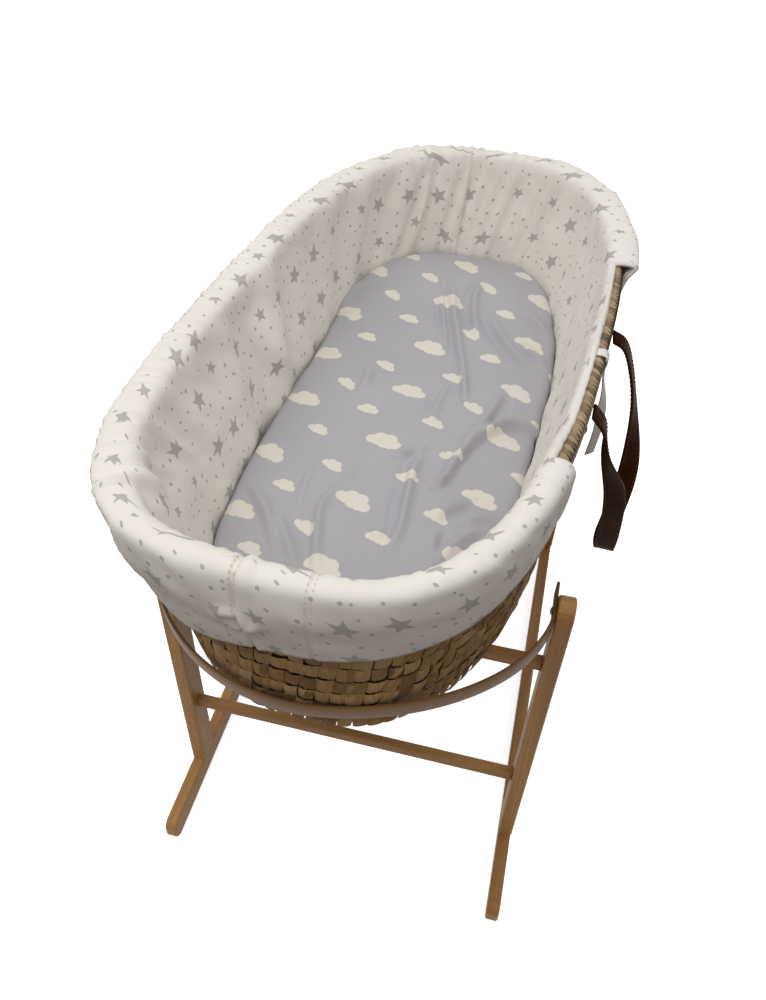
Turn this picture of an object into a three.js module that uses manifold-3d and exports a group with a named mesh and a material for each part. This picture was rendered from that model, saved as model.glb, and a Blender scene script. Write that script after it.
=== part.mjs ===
// Moses basket on a wooden stand, with padded liner, mattress and leather handles.
// Millimetres. X runs across, Y from the foot end (-) to the head end (+), Z up, floor at Z = 0.

import * as THREE from 'three';
import { mergeVertices } from 'three/addons/utils/BufferGeometryUtils.js';
import Module from 'manifold-3d';

const wasm = await Module();
wasm.setup();

// ---------------------------------------------------------------- driving dimensions

const SEAT_GAP = 0.3;              // clearance between two pieces that rest on or in each other
const WELD = 1e-4;                 // vertices closer than this are one vertex
const SIDES = [-1, 1];

// Runners: the two long feet that lie on the floor.
const RUNNER_LENGTH = 738;
const RUNNER_THICK = 15;
const RUNNER_HEIGHT = 34;
const RUNNER_TIP_RADIUS = 13;
const STAND_ROOM = 9;              // from the basket's side at the bow screws to the middle of a runner

// Uprights: four boards that stand on the runners and lean outwards.
const UPRIGHT_TOP = 470;
const UPRIGHT_THICK = 17;
const UPRIGHT_WIDTH = 32;
const UPRIGHT_SPAN = 511;          // foot pair to head pair, centre to centre
const UPRIGHT_LEAN = 5;            // sideways travel from runner to top
const BOARD_EDGE = 1.5;            // eased edge of every board
const CORNER_STEPS = 4;

// Cross rails between the uprights of a pair.
const RAIL_HEIGHT = 14;
const RAIL_DEPTH = 11;
const RAIL_EDGE = 1;
const LOWER_RAIL_BOTTOM = 144;
const UPPER_RAIL_TOP = 377;

// Bent laths that run round the foot and the head of the basket.
const BOW_WIDTH = 20;
const BOW_THICK = 3;
const BOW_END_Z = 452;
const BOW_MIDDLE_Z = 416;
const BOW_TAIL = 30;               // lath beyond the screw, towards the middle of the stand
const BOW_LEAD = 4;                // straight lath before the bend starts
const BOW_CLEARANCE = 3.2;         // at the apex; the turned basket comes closer beside it
const BOW_POWER = 1.85;            // 2 is a half ellipse, less is more pointed
const BOW_STEPS = 26;

// Fasteners of the stand.
const BOLT = { shank: 2.6, length: 36, head: 5.5, headHeight: 3, socket: 2.2, socketDepth: 1.6 };
const FOOT_SCREW = { shank: 2, length: 52, head: 4.2, headHeight: 3, socket: 1.4, socketDepth: 1.2 };
const FOOT_SCREW_RECESS = 1.2;     // head below the underside of the runner
const FOOT_SCREW_SPREAD = 8;       // each side of the middle of an upright
const BOW_SCREW = { shank: 1.6, length: 15, head: 4, headHeight: 2, socket: 1.2, socketDepth: 0.9 };
const BORE_CLEARANCE = 0.3;
const BORE_MOUTH = 1;              // how far a wide bore opens beyond the surface
const ROUND_STEPS = 8;

// Basket: a flared oval of braided rows. It lies slightly turned on the stand.
const BASKET_TURN = 3.5;           // degrees, foot end to the left
const BASE_HALF_WIDTH = 190;
const BASE_HALF_LENGTH = 388;
const TOP_HALF_WIDTH = 206;
const TOP_HALF_LENGTH = 415;
const BASE_POWER = { foot: 2.5, head: 2.6 };    // 2 is an ellipse, more is squarer
const TOP_POWER = { foot: 3.1, head: 2.65 };
const TOP_SKEW = 11;               // sideways travel of the rim's ends: foot end left, head end right
const WALL_THICK = 8;
const WALL_HEIGHT = 217.7;         // at the middle of the long sides
const END_RISE = 6;                // top edge higher at both ends
const BASE_THICK = 10;
const ROW_COUNT = 13;
const ROW_GROOVE = 2.4;
const WALL_INSIDE_RINGS = [1, 0.9, 0.5, 0.04];   // parts of the height at which the smooth inside bends
const HEEL_INSET = 7;              // rounding where the wall turns under
const OVAL_STATIONS = 48;

// Rim binding: a channel over the top of the wall.
const BINDING_OUTSIDE = 4;
const BINDING_DROP = 13;
const BINDING_RISE = 8;
const BINDING_SHOULDER = 4;

// Padded liner: down the inside of the wall, over the binding and down the outside.
const LINER_THICK = 7;
const BED_EASE = 4;                // between the liner and the edge of the mattress
const LINER_LIFT = 6;              // lower edge above the basket's base
const LINER_SHOULDER = 2;          // its top is lower by this beside the middle of the rim
const LINER_ROUNDING = 1;          // its faces draw in by this below the shoulders
const SKIRT_DROP = 97;
const SKIRT_SHORT = 30;            // drop near the open right-hand side
const SKIRT_SHORTENS_FROM = -0.35; // cosine of the oval's angle where the drop starts to shorten
const SKIRT_SHORTENS_TO = 0.8;
const SKIRT_PUFF = 1;
const SKIRT_CORNER_PUFF = 15;      // extra at its fullest, the left foot corner
const SKIRT_FULL_AT = THREE.MathUtils.degToRad(225);
// Rings of the skirt from its hem up: part of the drop, and part of the bulge.
const SKIRT_RINGS = [{ part: 1, puff: 0.1 }, { part: 0.6, puff: 0.3 }, { part: 0.25, puff: 0.9 }];
const LINER_SAG = 0.5;             // where the slope from the rim to the mattress has its middle ring
const HANDLE_GAP_FROM = -212;      // the liner is open between these two for a handle
const HANDLE_GAP_TO = 165;
const OPEN_EDGE_LAP = 0.5;         // on the right its cut edge laps this far over the binding
const GAP_STEPS = 10;

// Mattress and its fitted sheet.
const MATTRESS_SIDE_ROOM = 39;     // between the mattress and the foot of the basket's wall
const MATTRESS_END_ROOM = 21;
const MATTRESS_SHIFT = 3;          // pushed towards the head end
const MATTRESS_THICK = 66;
const MATTRESS_POWER = { foot: 3.1, head: 2.9 };
const MATTRESS_EDGE = 9;
const MATTRESS_ROUNDING = 0.3;     // middle of the rounded edge, as part of its radius
const MATTRESS_CROWN = 6;
const CROWN_SLOPE = 45;            // from the edge to where the top has risen most of its crown
const CROWN_SLOPE_FALL = 0.35;     // part of the crown still missing there
const CROWN_FLAT = 113;            // from the edge to the level middle
const MATTRESS_HEAD_RISE = 14;     // its top rises towards the head end, where the wall squeezes it
const MATTRESS_RISE_FROM = 0.3;    // part of its half length where the rise begins
const SHEET_THICK = 1.2;
const SHEET_TUCK = 26;
const MATTRESS_STATIONS = 32;

// Leather handles, their tabs and rivets.
const STRAP_WIDTH = 24;
const STRAP_THICK = 3;
const FAR_TAB_Y = 50;
const NEAR_TAB_Y = -90;
const TAB_LENGTH = 48;
const TAB_WIDTH = 24;
const TAB_THICK = 3.8;
const TAB_STEPS = 4;
const TAB_TO_BINDING = 3;          // tab top below the binding
const STRAP_EASE = 0.7;            // between the strap and the binding it swings past
const STRAP_STEPS = 28;
const RIVET = { shank: 2, length: 11, head: 4.6, headHeight: 2.2, crown: 2.8, crownHeight: 0.55 };
// Bends of the right-hand strap as [out, along, up] from its far and its near tab.
const STRAP_FAR_BENDS = [
  [13, 2, -8], [27, 2, -38], [42, -12, -90], [51, -34, -150], [48, -56, -206], [44, -66, -230],
];
const STRAP_LOWEST = [42, -75, -238];
const STRAP_NEAR_BENDS = [[44, 58, -228], [42, 48, -200], [34, 28, -124], [18, 4, -54], [13, 1, -16]];
const STRAP_TURN_FROM = 0.12;      // the strap turns its width between these parts of its length
const STRAP_TURN_TO = 0.42;

// Tape of the liner that ties it at the handle gap.
const TIE_Y = -12;
const TIE_WIDTH = 18;
const TIE_THICK = 1.6;
const TIE_DROP = 112;
const TIE_START = 1;               // its sewn end, in from the inner face of the wall
const TIE_BEND = 1;                // rounding of its turn over the edge of the binding
// Hanging end of the tape: part of the drop, and how far it stands away from the binding.
const TIE_HANG = [{ part: 0.4, away: 4 }, { part: 0.7, away: 8 }, { part: 1, away: 10 }];

// ---------------------------------------------------------------- finishes

const FINISH = {
  beech: { color: 0xb08a60, roughness: 0.55 },
  lath: { color: 0xb79a6c, roughness: 0.5 },
  steel: { color: 0x9c9a94, roughness: 0.35, metalness: 0.9 },
  braid: { color: 0xa98c5c, roughness: 0.85 },
  binding: { color: 0x9b8055, roughness: 0.8 },
  quilt: { color: 0xe6e1d8, roughness: 0.9 },
  foam: { color: 0xe9e6dc, roughness: 0.95 },
  cotton: { color: 0xa7a7ad, roughness: 0.9 },
  leather: { color: 0x3b2214, roughness: 0.6 },
  brass: { color: 0x9a7b3c, roughness: 0.35, metalness: 0.9 },
};

// ---------------------------------------------------------------- solids

/** Closed three.js geometry -> manifold solid. */
function toSolid(geometry) {
  const bare = geometry.clone();
  bare.deleteAttribute('normal');
  bare.deleteAttribute('uv');
  const welded = mergeVertices(bare, WELD);
  return new wasm.Manifold(new wasm.Mesh({
    numProp: 3,
    vertProperties: Float32Array.from(welded.attributes.position.array),
    triVerts: Uint32Array.from(welded.index.array),
  }));
}

/** Manifold solid -> three.js geometry. */
function toGeometry(solid) {
  const { vertProperties, triVerts, numProp } = solid.getMesh();
  const geometry = new THREE.BufferGeometry();
  const count = vertProperties.length / numProp;
  const positions = new Float32Array(count * 3);
  for (let i = 0; i < count; i += 1) {
    positions.set(vertProperties.subarray(i * numProp, i * numProp + 3), i * 3);
  }
  geometry.setAttribute('position', new THREE.BufferAttribute(positions, 3));
  geometry.setIndex(new THREE.BufferAttribute(Uint32Array.from(triVerts), 1));
  return geometry;
}

/** Cut a list of tool geometries out of a geometry. */
function cut(geometry, tools) {
  return toGeometry(tools.reduce((solid, tool) => solid.subtract(toSolid(tool)), toSolid(geometry)));
}

/** Named mesh with its own material. */
function piece(name, geometry, finish) {
  const flat = geometry.index ? geometry.toNonIndexed() : geometry;
  flat.computeVertexNormals();
  const mesh = new THREE.Mesh(flat, new THREE.MeshStandardMaterial(FINISH[finish]));
  mesh.name = name;
  return mesh;
}

/** Axis-aligned block between two corners. */
function block(min, max) {
  const size = max.map((value, axis) => value - min[axis]);
  const middle = max.map((value, axis) => (value + min[axis]) / 2);
  return new THREE.BoxGeometry(...size).translate(...middle);
}

/** Geometry from rings of equal length; `wrap` joins the last ring to the first, else caps the ends. */
function loft(rings, wrap) {
  const count = rings[0].length;
  const points = rings.flat();
  const index = [];
  const quad = (a, b, c, d) => index.push(a, b, c, a, c, d);
  const spans = wrap ? rings.length : rings.length - 1;
  for (let ring = 0; ring < spans; ring += 1) {
    const from = ring * count;
    const to = ((ring + 1) % rings.length) * count;
    for (let i = 0; i < count; i += 1) {
      const next = (i + 1) % count;
      quad(from + i, from + next, to + next, to + i);
    }
  }
  if (!wrap) {
    addCap(points, index, rings[0], 0, true);
    addCap(points, index, rings[rings.length - 1], (rings.length - 1) * count, false);
  }
  return indexed(points, index);
}

/** Close one end ring of a loft with a fan about its middle. */
function addCap(points, index, ring, offset, reversed) {
  const middle = new THREE.Vector3();
  ring.forEach((point) => middle.addScaledVector(point, 1 / ring.length));
  const centre = points.push(middle) - 1;
  ring.forEach((_, i) => {
    const next = offset + ((i + 1) % ring.length);
    index.push(...(reversed ? [centre, next, offset + i] : [centre, offset + i, next]));
  });
}

/** Indexed geometry whose faces point outwards. */
function indexed(points, index) {
  const volume = index.reduce((sum, _, i) => {
    if (i % 3) return sum;
    const [a, b, c] = [points[index[i]], points[index[i + 1]], points[index[i + 2]]];
    return sum + a.dot(b.clone().cross(c));
  }, 0);
  const turned = volume < 0 ? index.slice().reverse() : index;
  const geometry = new THREE.BufferGeometry().setFromPoints(points);
  geometry.setIndex(turned);
  return geometry;
}

/** Extrude a Y-Z outline along X, centred on x = 0, with eased edges. */
function boardAlongX(shape, thick, edge) {
  const geometry = new THREE.ExtrudeGeometry(shape, {
    depth: thick - 2 * edge,
    bevelThickness: edge,
    bevelSize: edge,
    bevelOffset: -edge,
    bevelSegments: 1,
    curveSegments: CORNER_STEPS,
  });
  geometry.translate(0, 0, edge - thick / 2);
  const axes = [new THREE.Vector3(0, 1, 0), new THREE.Vector3(0, 0, 1), new THREE.Vector3(1, 0, 0)];
  return geometry.applyMatrix4(new THREE.Matrix4().makeBasis(...axes));
}

/** Extrude an X-Z outline along Y, centred on y = 0, with eased edges. */
function boardAlongY(shape, depth, edge) {
  const geometry = new THREE.ExtrudeGeometry(shape, {
    depth: depth - 2 * edge,
    bevelThickness: edge,
    bevelSize: edge,
    bevelOffset: -edge,
    bevelSegments: 1,
  });
  geometry.translate(0, 0, edge - depth / 2);
  const axes = [new THREE.Vector3(1, 0, 0), new THREE.Vector3(0, 0, 1), new THREE.Vector3(0, -1, 0)];
  return geometry.applyMatrix4(new THREE.Matrix4().makeBasis(...axes));
}

/** Outline with straight sides between points. */
function outline(points) {
  return new THREE.Shape(points.map(([a, b]) => new THREE.Vector2(a, b)));
}

/** Outline of a lying bar with rounded corners at both ends. */
function roundedBar(length, height, radius) {
  const [a, r] = [length / 2, radius];
  const shape = new THREE.Shape();
  shape.moveTo(-a + r, 0);
  shape.lineTo(a - r, 0);
  shape.absarc(a - r, r, r, -Math.PI / 2, 0);
  shape.lineTo(a, height - r);
  shape.absarc(a - r, height - r, r, 0, Math.PI / 2);
  shape.lineTo(-a + r, height);
  shape.absarc(-a + r, height - r, r, Math.PI / 2, Math.PI);
  shape.lineTo(-a, r);
  shape.absarc(-a + r, r, r, Math.PI, 1.5 * Math.PI);
  return shape;
}

/** Outline of a standing board with a round top. */
function roundTopBoard(width, bottom, top) {
  const r = width / 2;
  const shape = new THREE.Shape();
  shape.moveTo(-r, bottom);
  shape.lineTo(r, bottom);
  shape.lineTo(r, top - r);
  shape.absarc(0, top - r, r, 0, Math.PI);
  shape.lineTo(-r, bottom);
  return shape;
}

/** Bolt or screw standing on the X axis: head at x = 0 facing -x, shank towards +x. */
function fastener(kind) {
  const profile = [
    [0, kind.socketDepth], [kind.socket, kind.socketDepth], [kind.socket, 0], [kind.head, 0],
    [kind.head, kind.headHeight], [kind.shank, kind.headHeight],
    [kind.shank, kind.length], [0, kind.length],
  ];
  return turned(profile);
}

/** Solid of revolution on the X axis from [radius, along] stations. */
function turned(profile) {
  const points = profile.map(([radius, along]) => new THREE.Vector2(radius, along));
  return new THREE.LatheGeometry(points, ROUND_STEPS).rotateZ(-Math.PI / 2);
}

/** Hole for a fastener: a shank bore, with a wider mouth of the given depth for its head. */
function bore(kind, mouth) {
  const shank = kind.shank + BORE_CLEARANCE;
  const end = kind.length + BORE_CLEARANCE;
  const start = mouth > 0 ? boreMouth(kind, mouth, shank) : [[0, 0], [shank, 0]];
  return turned([...start, [shank, end], [0, end]]);
}

/** Stations of a bore's wider mouth. */
function boreMouth(kind, mouth, shank) {
  const head = kind.head + BORE_CLEARANCE;
  const start = kind.headHeight - mouth - BORE_MOUTH;
  const floor = kind.headHeight + SEAT_GAP;
  return [[0, start], [head, start], [head, floor], [shank, floor]];
}

// ---------------------------------------------------------------- stand

const WALL_BOTTOM = UPPER_RAIL_TOP + SEAT_GAP;
const BASE_TOP = WALL_BOTTOM + BASE_THICK;
const RUNNER_CENTRE_X = ovalSize(BOW_END_Z, 0).a + STAND_ROOM;
const UPRIGHT_Y = UPRIGHT_SPAN / 2;
const TURN = THREE.MathUtils.degToRad(BASKET_TURN);
const ENDS = [['foot', -1], ['head', 1]];
const HANDS = [['left', -1], ['right', 1]];
const LEVELS = ['lower', 'upper'];

/** Sideways offset of a leaning upright at a height. */
function leanAt(z) {
  return (UPRIGHT_LEAN * (z - RUNNER_HEIGHT)) / (UPRIGHT_TOP - RUNNER_HEIGHT);
}

/** Distance of an upright's inner face from the middle of the stand at a height. */
function innerFaceX(z) {
  return RUNNER_CENTRE_X - UPRIGHT_THICK / 2 + leanAt(z);
}

/** Where the outer end of a rail bolt lies. */
function boltHeadX(z) {
  return innerFaceX(z) + UPRIGHT_THICK - BOLT.headHeight;
}

/** Rail bolt geometry, or its bore, at one upright; the head faces outwards. */
function atRailBolt(geometry, side, end, z) {
  geometry.rotateZ(side > 0 ? Math.PI : 0);
  return geometry.translate(side * (boltHeadX(z) + BOLT.headHeight), end * UPRIGHT_Y, z);
}

/** Foot screw geometry, or its bore; the head faces down. */
function atFootScrew(geometry, side, y) {
  return geometry.rotateY(-Math.PI / 2).translate(side * RUNNER_CENTRE_X, y, FOOT_SCREW_RECESS);
}

/** Bow screw geometry, or its bore; the head faces the middle of the stand. */
function atBowScrew(geometry, side, end) {
  const headX = innerFaceX(BOW_END_Z) - SEAT_GAP - BOW_THICK - SEAT_GAP - BOW_SCREW.headHeight;
  geometry.rotateZ(side > 0 ? 0 : Math.PI);
  return geometry.translate(side * headX, end * UPRIGHT_Y, BOW_END_Z);
}

const RAIL_MIDDLES = [LOWER_RAIL_BOTTOM + RAIL_HEIGHT / 2, UPPER_RAIL_TOP - RAIL_HEIGHT / 2];

/** Y positions of the two foot screws under an upright. */
function footScrewRows(end) {
  return SIDES.map((way) => end * UPRIGHT_Y + way * FOOT_SCREW_SPREAD);
}

function makeRunner([hand, side]) {
  const bar = roundedBar(RUNNER_LENGTH, RUNNER_HEIGHT, RUNNER_TIP_RADIUS);
  const board = boardAlongX(bar, RUNNER_THICK, BOARD_EDGE);
  board.translate(side * RUNNER_CENTRE_X, 0, 0);
  const tools = ENDS.flatMap(([, end]) => footScrewRows(end))
    .map((y) => atFootScrew(bore(FOOT_SCREW, FOOT_SCREW.headHeight + FOOT_SCREW_RECESS), side, y));
  return piece(`runner_${hand}`, cut(board, tools), 'beech');
}

function makeUpright([hand, side], [place, end]) {
  const bottom = RUNNER_HEIGHT + SEAT_GAP;
  const board = boardAlongX(roundTopBoard(UPRIGHT_WIDTH, bottom, UPRIGHT_TOP), UPRIGHT_THICK, BOARD_EDGE);
  board.applyMatrix4(leanMatrix(side));
  board.translate(side * RUNNER_CENTRE_X, end * UPRIGHT_Y, 0);
  const tools = [
    ...RAIL_MIDDLES.map((z) => atRailBolt(bore(BOLT, BOLT.headHeight), side, end, z)),
    ...footScrewRows(end).map((y) => atFootScrew(bore(FOOT_SCREW, 0), side, y)),
    atBowScrew(bore(BOW_SCREW, 0), side, end),
  ];
  return piece(`upright_${place}_${hand}`, cut(board, tools), 'beech');
}

/** Shear that leans a board outwards and leaves its level faces level. */
function leanMatrix(side) {
  const slope = (side * UPRIGHT_LEAN) / (UPRIGHT_TOP - RUNNER_HEIGHT);
  return new THREE.Matrix4().set(1, 0, slope, -slope * RUNNER_HEIGHT, 0, 1, 0, 0, 0, 0, 1, 0, 0, 0, 0, 1);
}

function makeRail(level, middleZ, [place, end]) {
  const [low, high] = [middleZ - RAIL_HEIGHT / 2, middleZ + RAIL_HEIGHT / 2];
  const [a, b] = [innerFaceX(low) - SEAT_GAP, innerFaceX(high) - SEAT_GAP];
  const rail = boardAlongY(outline([[-a, low], [a, low], [b, high], [-b, high]]), RAIL_DEPTH, RAIL_EDGE);
  rail.translate(0, end * UPRIGHT_Y, 0);
  const tools = SIDES.map((side) => atRailBolt(bore(BOLT, 0), side, end, middleZ));
  return piece(`${level}_rail_${place}`, cut(rail, tools), 'beech');
}

function makeRailBolts([hand, side], [place, end]) {
  return LEVELS.map((level, row) => piece(
    `${level}_bolt_${place}_${hand}`,
    atRailBolt(fastener(BOLT), side, end, RAIL_MIDDLES[row]),
    'steel',
  ));
}

function makeFootScrews([hand, side], [place, end]) {
  return footScrewRows(end).map((y, row) => piece(
    `foot_screw_${place}_${hand}_${row + 1}`,
    atFootScrew(fastener(FOOT_SCREW), side, y),
    'steel',
  ));
}

/** Where a bow starts to bend, its furthest reach along the stand, and the sideways place of that point. */
function bowReach() {
  const apexY = ovalSize(BOW_MIDDLE_Z + BOW_WIDTH / 2, 0).b + BOW_CLEARANCE + BOW_THICK / 2;
  return { bendY: UPRIGHT_Y + BOW_LEAD, apexY, sway: apexY * Math.tan(TURN) };
}

/** Middle line of a bow: from the right upright round the end of the basket to the left upright. */
function bowPath(end) {
  const reachX = innerFaceX(BOW_END_Z) - SEAT_GAP - BOW_THICK / 2;
  const { bendY, apexY, sway } = bowReach();
  const path = [];
  for (let step = 0; step <= BOW_STEPS; step += 1) {
    const angle = (Math.PI * step) / BOW_STEPS;
    const round = signedPower(Math.sin(angle), 2 / BOW_POWER);
    const x = reachX * signedPower(Math.cos(angle), 2 / BOW_POWER) + end * sway * round ** 2;
    const y = bendY + (apexY - bendY) * round;
    const z = BOW_END_Z + (BOW_MIDDLE_Z - BOW_END_Z) * round;
    path.push(new THREE.Vector3(x, end * y, z));
  }
  const tail = (side) => new THREE.Vector3(side * reachX, end * (UPRIGHT_Y - BOW_TAIL), BOW_END_Z);
  return [tail(1), ...path, tail(-1)];
}

/** Direction across the lath: upright at the screws, along the basket's flare at the middle. */
function bowAcross(point, end) {
  const { bendY, apexY } = bowReach();
  const round = Math.max(0, (end * point.y - bendY) / (apexY - bendY));
  const flare = (TOP_HALF_LENGTH - BASE_HALF_LENGTH) / WALL_HEIGHT;
  const lean = UPRIGHT_LEAN / (UPRIGHT_TOP - RUNNER_HEIGHT);
  return new THREE.Vector3(Math.sign(point.x) * lean * (1 - round), end * flare * round, 1).normalize();
}

/** Flat strip swept along a path: `across` gives the direction of its width at every point. */
function strip(path, across, width, thick) {
  const rings = path.map((point, i) => {
    const before = path[Math.max(i - 1, 0)];
    const after = path[Math.min(i + 1, path.length - 1)];
    const along = after.clone().sub(before).normalize();
    const face = along.clone().cross(across[i]).normalize();
    const wide = face.clone().cross(along).multiplyScalar(width / 2);
    face.multiplyScalar(thick / 2);
    return [[1, 1], [-1, 1], [-1, -1], [1, -1]].map(
      ([w, f]) => point.clone().addScaledVector(wide, w).addScaledVector(face, f),
    );
  });
  return loft(rings, false);
}

function makeBow([place, end]) {
  const path = bowPath(end);
  const lath = strip(path, path.map((point) => bowAcross(point, end)), BOW_WIDTH, BOW_THICK);
  const tools = SIDES.map((side) => atBowScrew(bore(BOW_SCREW, 0), side, end));
  return piece(`bow_${place}`, cut(lath, tools), 'lath');
}

function makeBowScrew([hand, side], [place, end]) {
  return piece(`bow_screw_${place}_${hand}`, atBowScrew(fastener(BOW_SCREW), side, end), 'steel');
}

function makeStand() {
  const pairs = ENDS.flatMap((end) => HANDS.map((hand) => [hand, end]));
  return [
    ...HANDS.map(makeRunner),
    ...pairs.map(([hand, end]) => makeUpright(hand, end)),
    ...ENDS.flatMap((end) => LEVELS.map((level, row) => makeRail(level, RAIL_MIDDLES[row], end))),
    ...ENDS.map(makeBow),
    ...pairs.flatMap(([hand, end]) => [
      ...makeRailBolts(hand, end), ...makeFootScrews(hand, end), makeBowScrew(hand, end),
    ]),
  ];
}

// ---------------------------------------------------------------- basket


/** Height of the wall's top edge; `u` runs from -1 at the foot to 1 at the head. */
function wallTop(u) {
  return WALL_BOTTOM + WALL_HEIGHT + END_RISE * u * u;
}

/** The wall's outside at height `z`: half width `a`, half length `b`, powers of its halves, and skew. */
function ovalSize(z, u) {
  const part = THREE.MathUtils.clamp((z - WALL_BOTTOM) / (wallTop(u) - WALL_BOTTOM), 0, 1.1);
  const between = (from, to) => THREE.MathUtils.lerp(from, to, part);
  return {
    a: between(BASE_HALF_WIDTH, TOP_HALF_WIDTH),
    b: between(BASE_HALF_LENGTH, TOP_HALF_LENGTH),
    power: {
      foot: between(BASE_POWER.foot, TOP_POWER.foot),
      head: between(BASE_POWER.head, TOP_POWER.head),
    },
    skew: (part * TOP_SKEW) / TOP_HALF_LENGTH,
  };
}

/** Signed power, for the oval's outline. */
function signedPower(value, power) {
  return Math.sign(value) * Math.abs(value) ** power;
}

/** Power of an oval's foot or head half. */
function halfPower(power, y) {
  return y < 0 ? power.foot : power.head;
}

/** Point of an oval at angle `t`, moved outwards by `offset`. */
function ovalPoint(t, a, b, powers, offset, z) {
  const [c, s] = [Math.cos(t), Math.sin(t)];
  const power = halfPower(powers, s);
  const bend = 2 - 2 / power;
  const normal = new THREE.Vector3(signedPower(c, bend) / a, signedPower(s, bend) / b, 0).normalize();
  const point = new THREE.Vector3(a * signedPower(c, 2 / power), b * signedPower(s, 2 / power), z);
  return point.addScaledVector(normal, offset);
}

/** Angles that space `count` points evenly round an oval. */
function evenAngles(count, a, b, powers) {
  const fine = 4000;
  const lengths = [0];
  let last = ovalPoint(0, a, b, powers, 0, 0);
  for (let i = 1; i <= fine; i += 1) {
    const next = ovalPoint((2 * Math.PI * i) / fine, a, b, powers, 0, 0);
    lengths.push(lengths[i - 1] + next.distanceTo(last));
    last = next;
  }
  let at = 0;
  return Array.from({ length: count }, (_, k) => {
    while (lengths[at] < (lengths[fine] * k) / count) at += 1;
    return (2 * Math.PI * at) / fine;
  });
}

const WALL_ANGLES = evenAngles(OVAL_STATIONS, TOP_HALF_WIDTH, TOP_HALF_LENGTH, TOP_POWER);

/** Place along the basket, -1 at the foot to 1 at the head, for an oval angle. */
function alongBasket(t) {
  const sine = Math.sin(t);
  return signedPower(sine, 2 / halfPower(TOP_POWER, sine));
}

/** Point `offset` outside the wall at an oval angle and a height. */
function wallPoint(t, z, offset) {
  const { a, b, power, skew } = ovalSize(z, alongBasket(t));
  const point = ovalPoint(t, a, b, power, offset, z);
  return point.setX(point.x + skew * point.y);
}

/** Ring round the basket: `height(u)` gives its Z, `offset` its distance outside the wall. */
function wallRing(height, offset) {
  return WALL_ANGLES.map((t) => wallPoint(t, height(alongBasket(t)), offset));
}

/** Point on the side of the basket at a given Y and height. */
function sidePoint(side, y, z, offset) {
  const { a, b, power, skew } = ovalSize(z, y / TOP_HALF_LENGTH);
  const sine = signedPower(y / b, halfPower(power, y) / 2);
  const point = ovalPoint(Math.asin(sine), a, b, power, offset, z);
  return point.setX(side * point.x + skew * point.y);
}

/** Height rule for a part of the way up the wall. */
function level(part) {
  return (u) => THREE.MathUtils.lerp(WALL_BOTTOM, wallTop(u), part);
}

function makeWall() {
  const rings = [wallRing(() => WALL_BOTTOM, -HEEL_INSET)];
  for (let row = 0; row < ROW_COUNT; row += 1) {
    rings.push(wallRing(level((row + 0.5) / ROW_COUNT), 0));
    rings.push(wallRing(level((row + 1) / ROW_COUNT), -ROW_GROOVE));
  }
  rings.push(...WALL_INSIDE_RINGS.map((part) => wallRing(level(part), -WALL_THICK)));
  rings.push(wallRing(() => WALL_BOTTOM, -WALL_THICK - HEEL_INSET));
  return piece('basket_wall', loft(rings, true), 'braid');
}

function makeBase() {
  const lip = -WALL_THICK - SEAT_GAP;
  const low = wallRing(() => WALL_BOTTOM, lip - HEEL_INSET);
  const high = wallRing(() => BASE_TOP, lip);
  const middle = wallRing(level(0.5 / ROW_COUNT), lip);
  return piece('basket_base', loft([low, middle, high], false), 'braid');
}

function makeBinding() {
  const outside = BINDING_OUTSIDE;
  const inside = -WALL_THICK - BINDING_OUTSIDE;
  const section = [
    [outside, -BINDING_DROP], [outside, BINDING_RISE - BINDING_SHOULDER],
    [outside - BINDING_SHOULDER, BINDING_RISE], [inside + BINDING_SHOULDER, BINDING_RISE],
    [inside, BINDING_RISE - BINDING_SHOULDER], [inside, -BINDING_DROP],
    [-WALL_THICK - SEAT_GAP, -BINDING_DROP], [-WALL_THICK - SEAT_GAP, SEAT_GAP],
    [SEAT_GAP, SEAT_GAP], [SEAT_GAP, -BINDING_DROP],
  ];
  const rings = section.map(([offset, lift]) => wallRing((u) => wallTop(u) + lift, offset));
  return piece('basket_binding', loft(rings, true), 'binding');
}

/** Height rule a given distance above the wall's top edge. */
function over(lift) {
  return (u) => wallTop(u) + lift;
}

/** How short the skirt is at an oval angle: 0 is full length, 1 is the open right-hand side. */
function skirtShortens(t) {
  return THREE.MathUtils.smoothstep(Math.cos(t), SKIRT_SHORTENS_FROM, SKIRT_SHORTENS_TO);
}

/** Ring of the skirt `part` of the way down, with `puff` of its full bulge and `base` off the wall. */
function skirtRing({ part, puff }, base) {
  return WALL_ANGLES.map((t) => {
    const drop = THREE.MathUtils.lerp(SKIRT_DROP, SKIRT_SHORT, skirtShortens(t));
    const bulge = SKIRT_PUFF + SKIRT_CORNER_PUFF * Math.max(0, Math.cos(t - SKIRT_FULL_AT));
    return wallPoint(t, wallTop(alongBasket(t)) - part * drop, base + puff * bulge);
  });
}

/** Ring beside the mattress, `away` from its edge, at a height rule. */
function bedRing(height, away) {
  return WALL_ANGLES.map((t) => {
    const z = height(alongBasket(t));
    const point = ovalPoint(t, MATTRESS_HALF_WIDTH, MATTRESS_HALF_LENGTH, MATTRESS_POWER, away, z);
    return point.setY(point.y + MATTRESS_SHIFT);
  });
}

/** Ring between two others. */
function midRing(from, to, part) {
  return from.map((point, i) => point.clone().lerp(to[i], part));
}

/** One face of the hanging inside of the liner, from the rim down to its lower edge. */
function innerDrop(rim, away) {
  const edge = bedRing(() => BASE_TOP + LINER_LIFT, away);
  const bed = bedRing(() => FOAM_BOTTOM + MATTRESS_THICK, away);
  return [rim, midRing(rim, bed, LINER_SAG), bed, edge];
}

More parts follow.
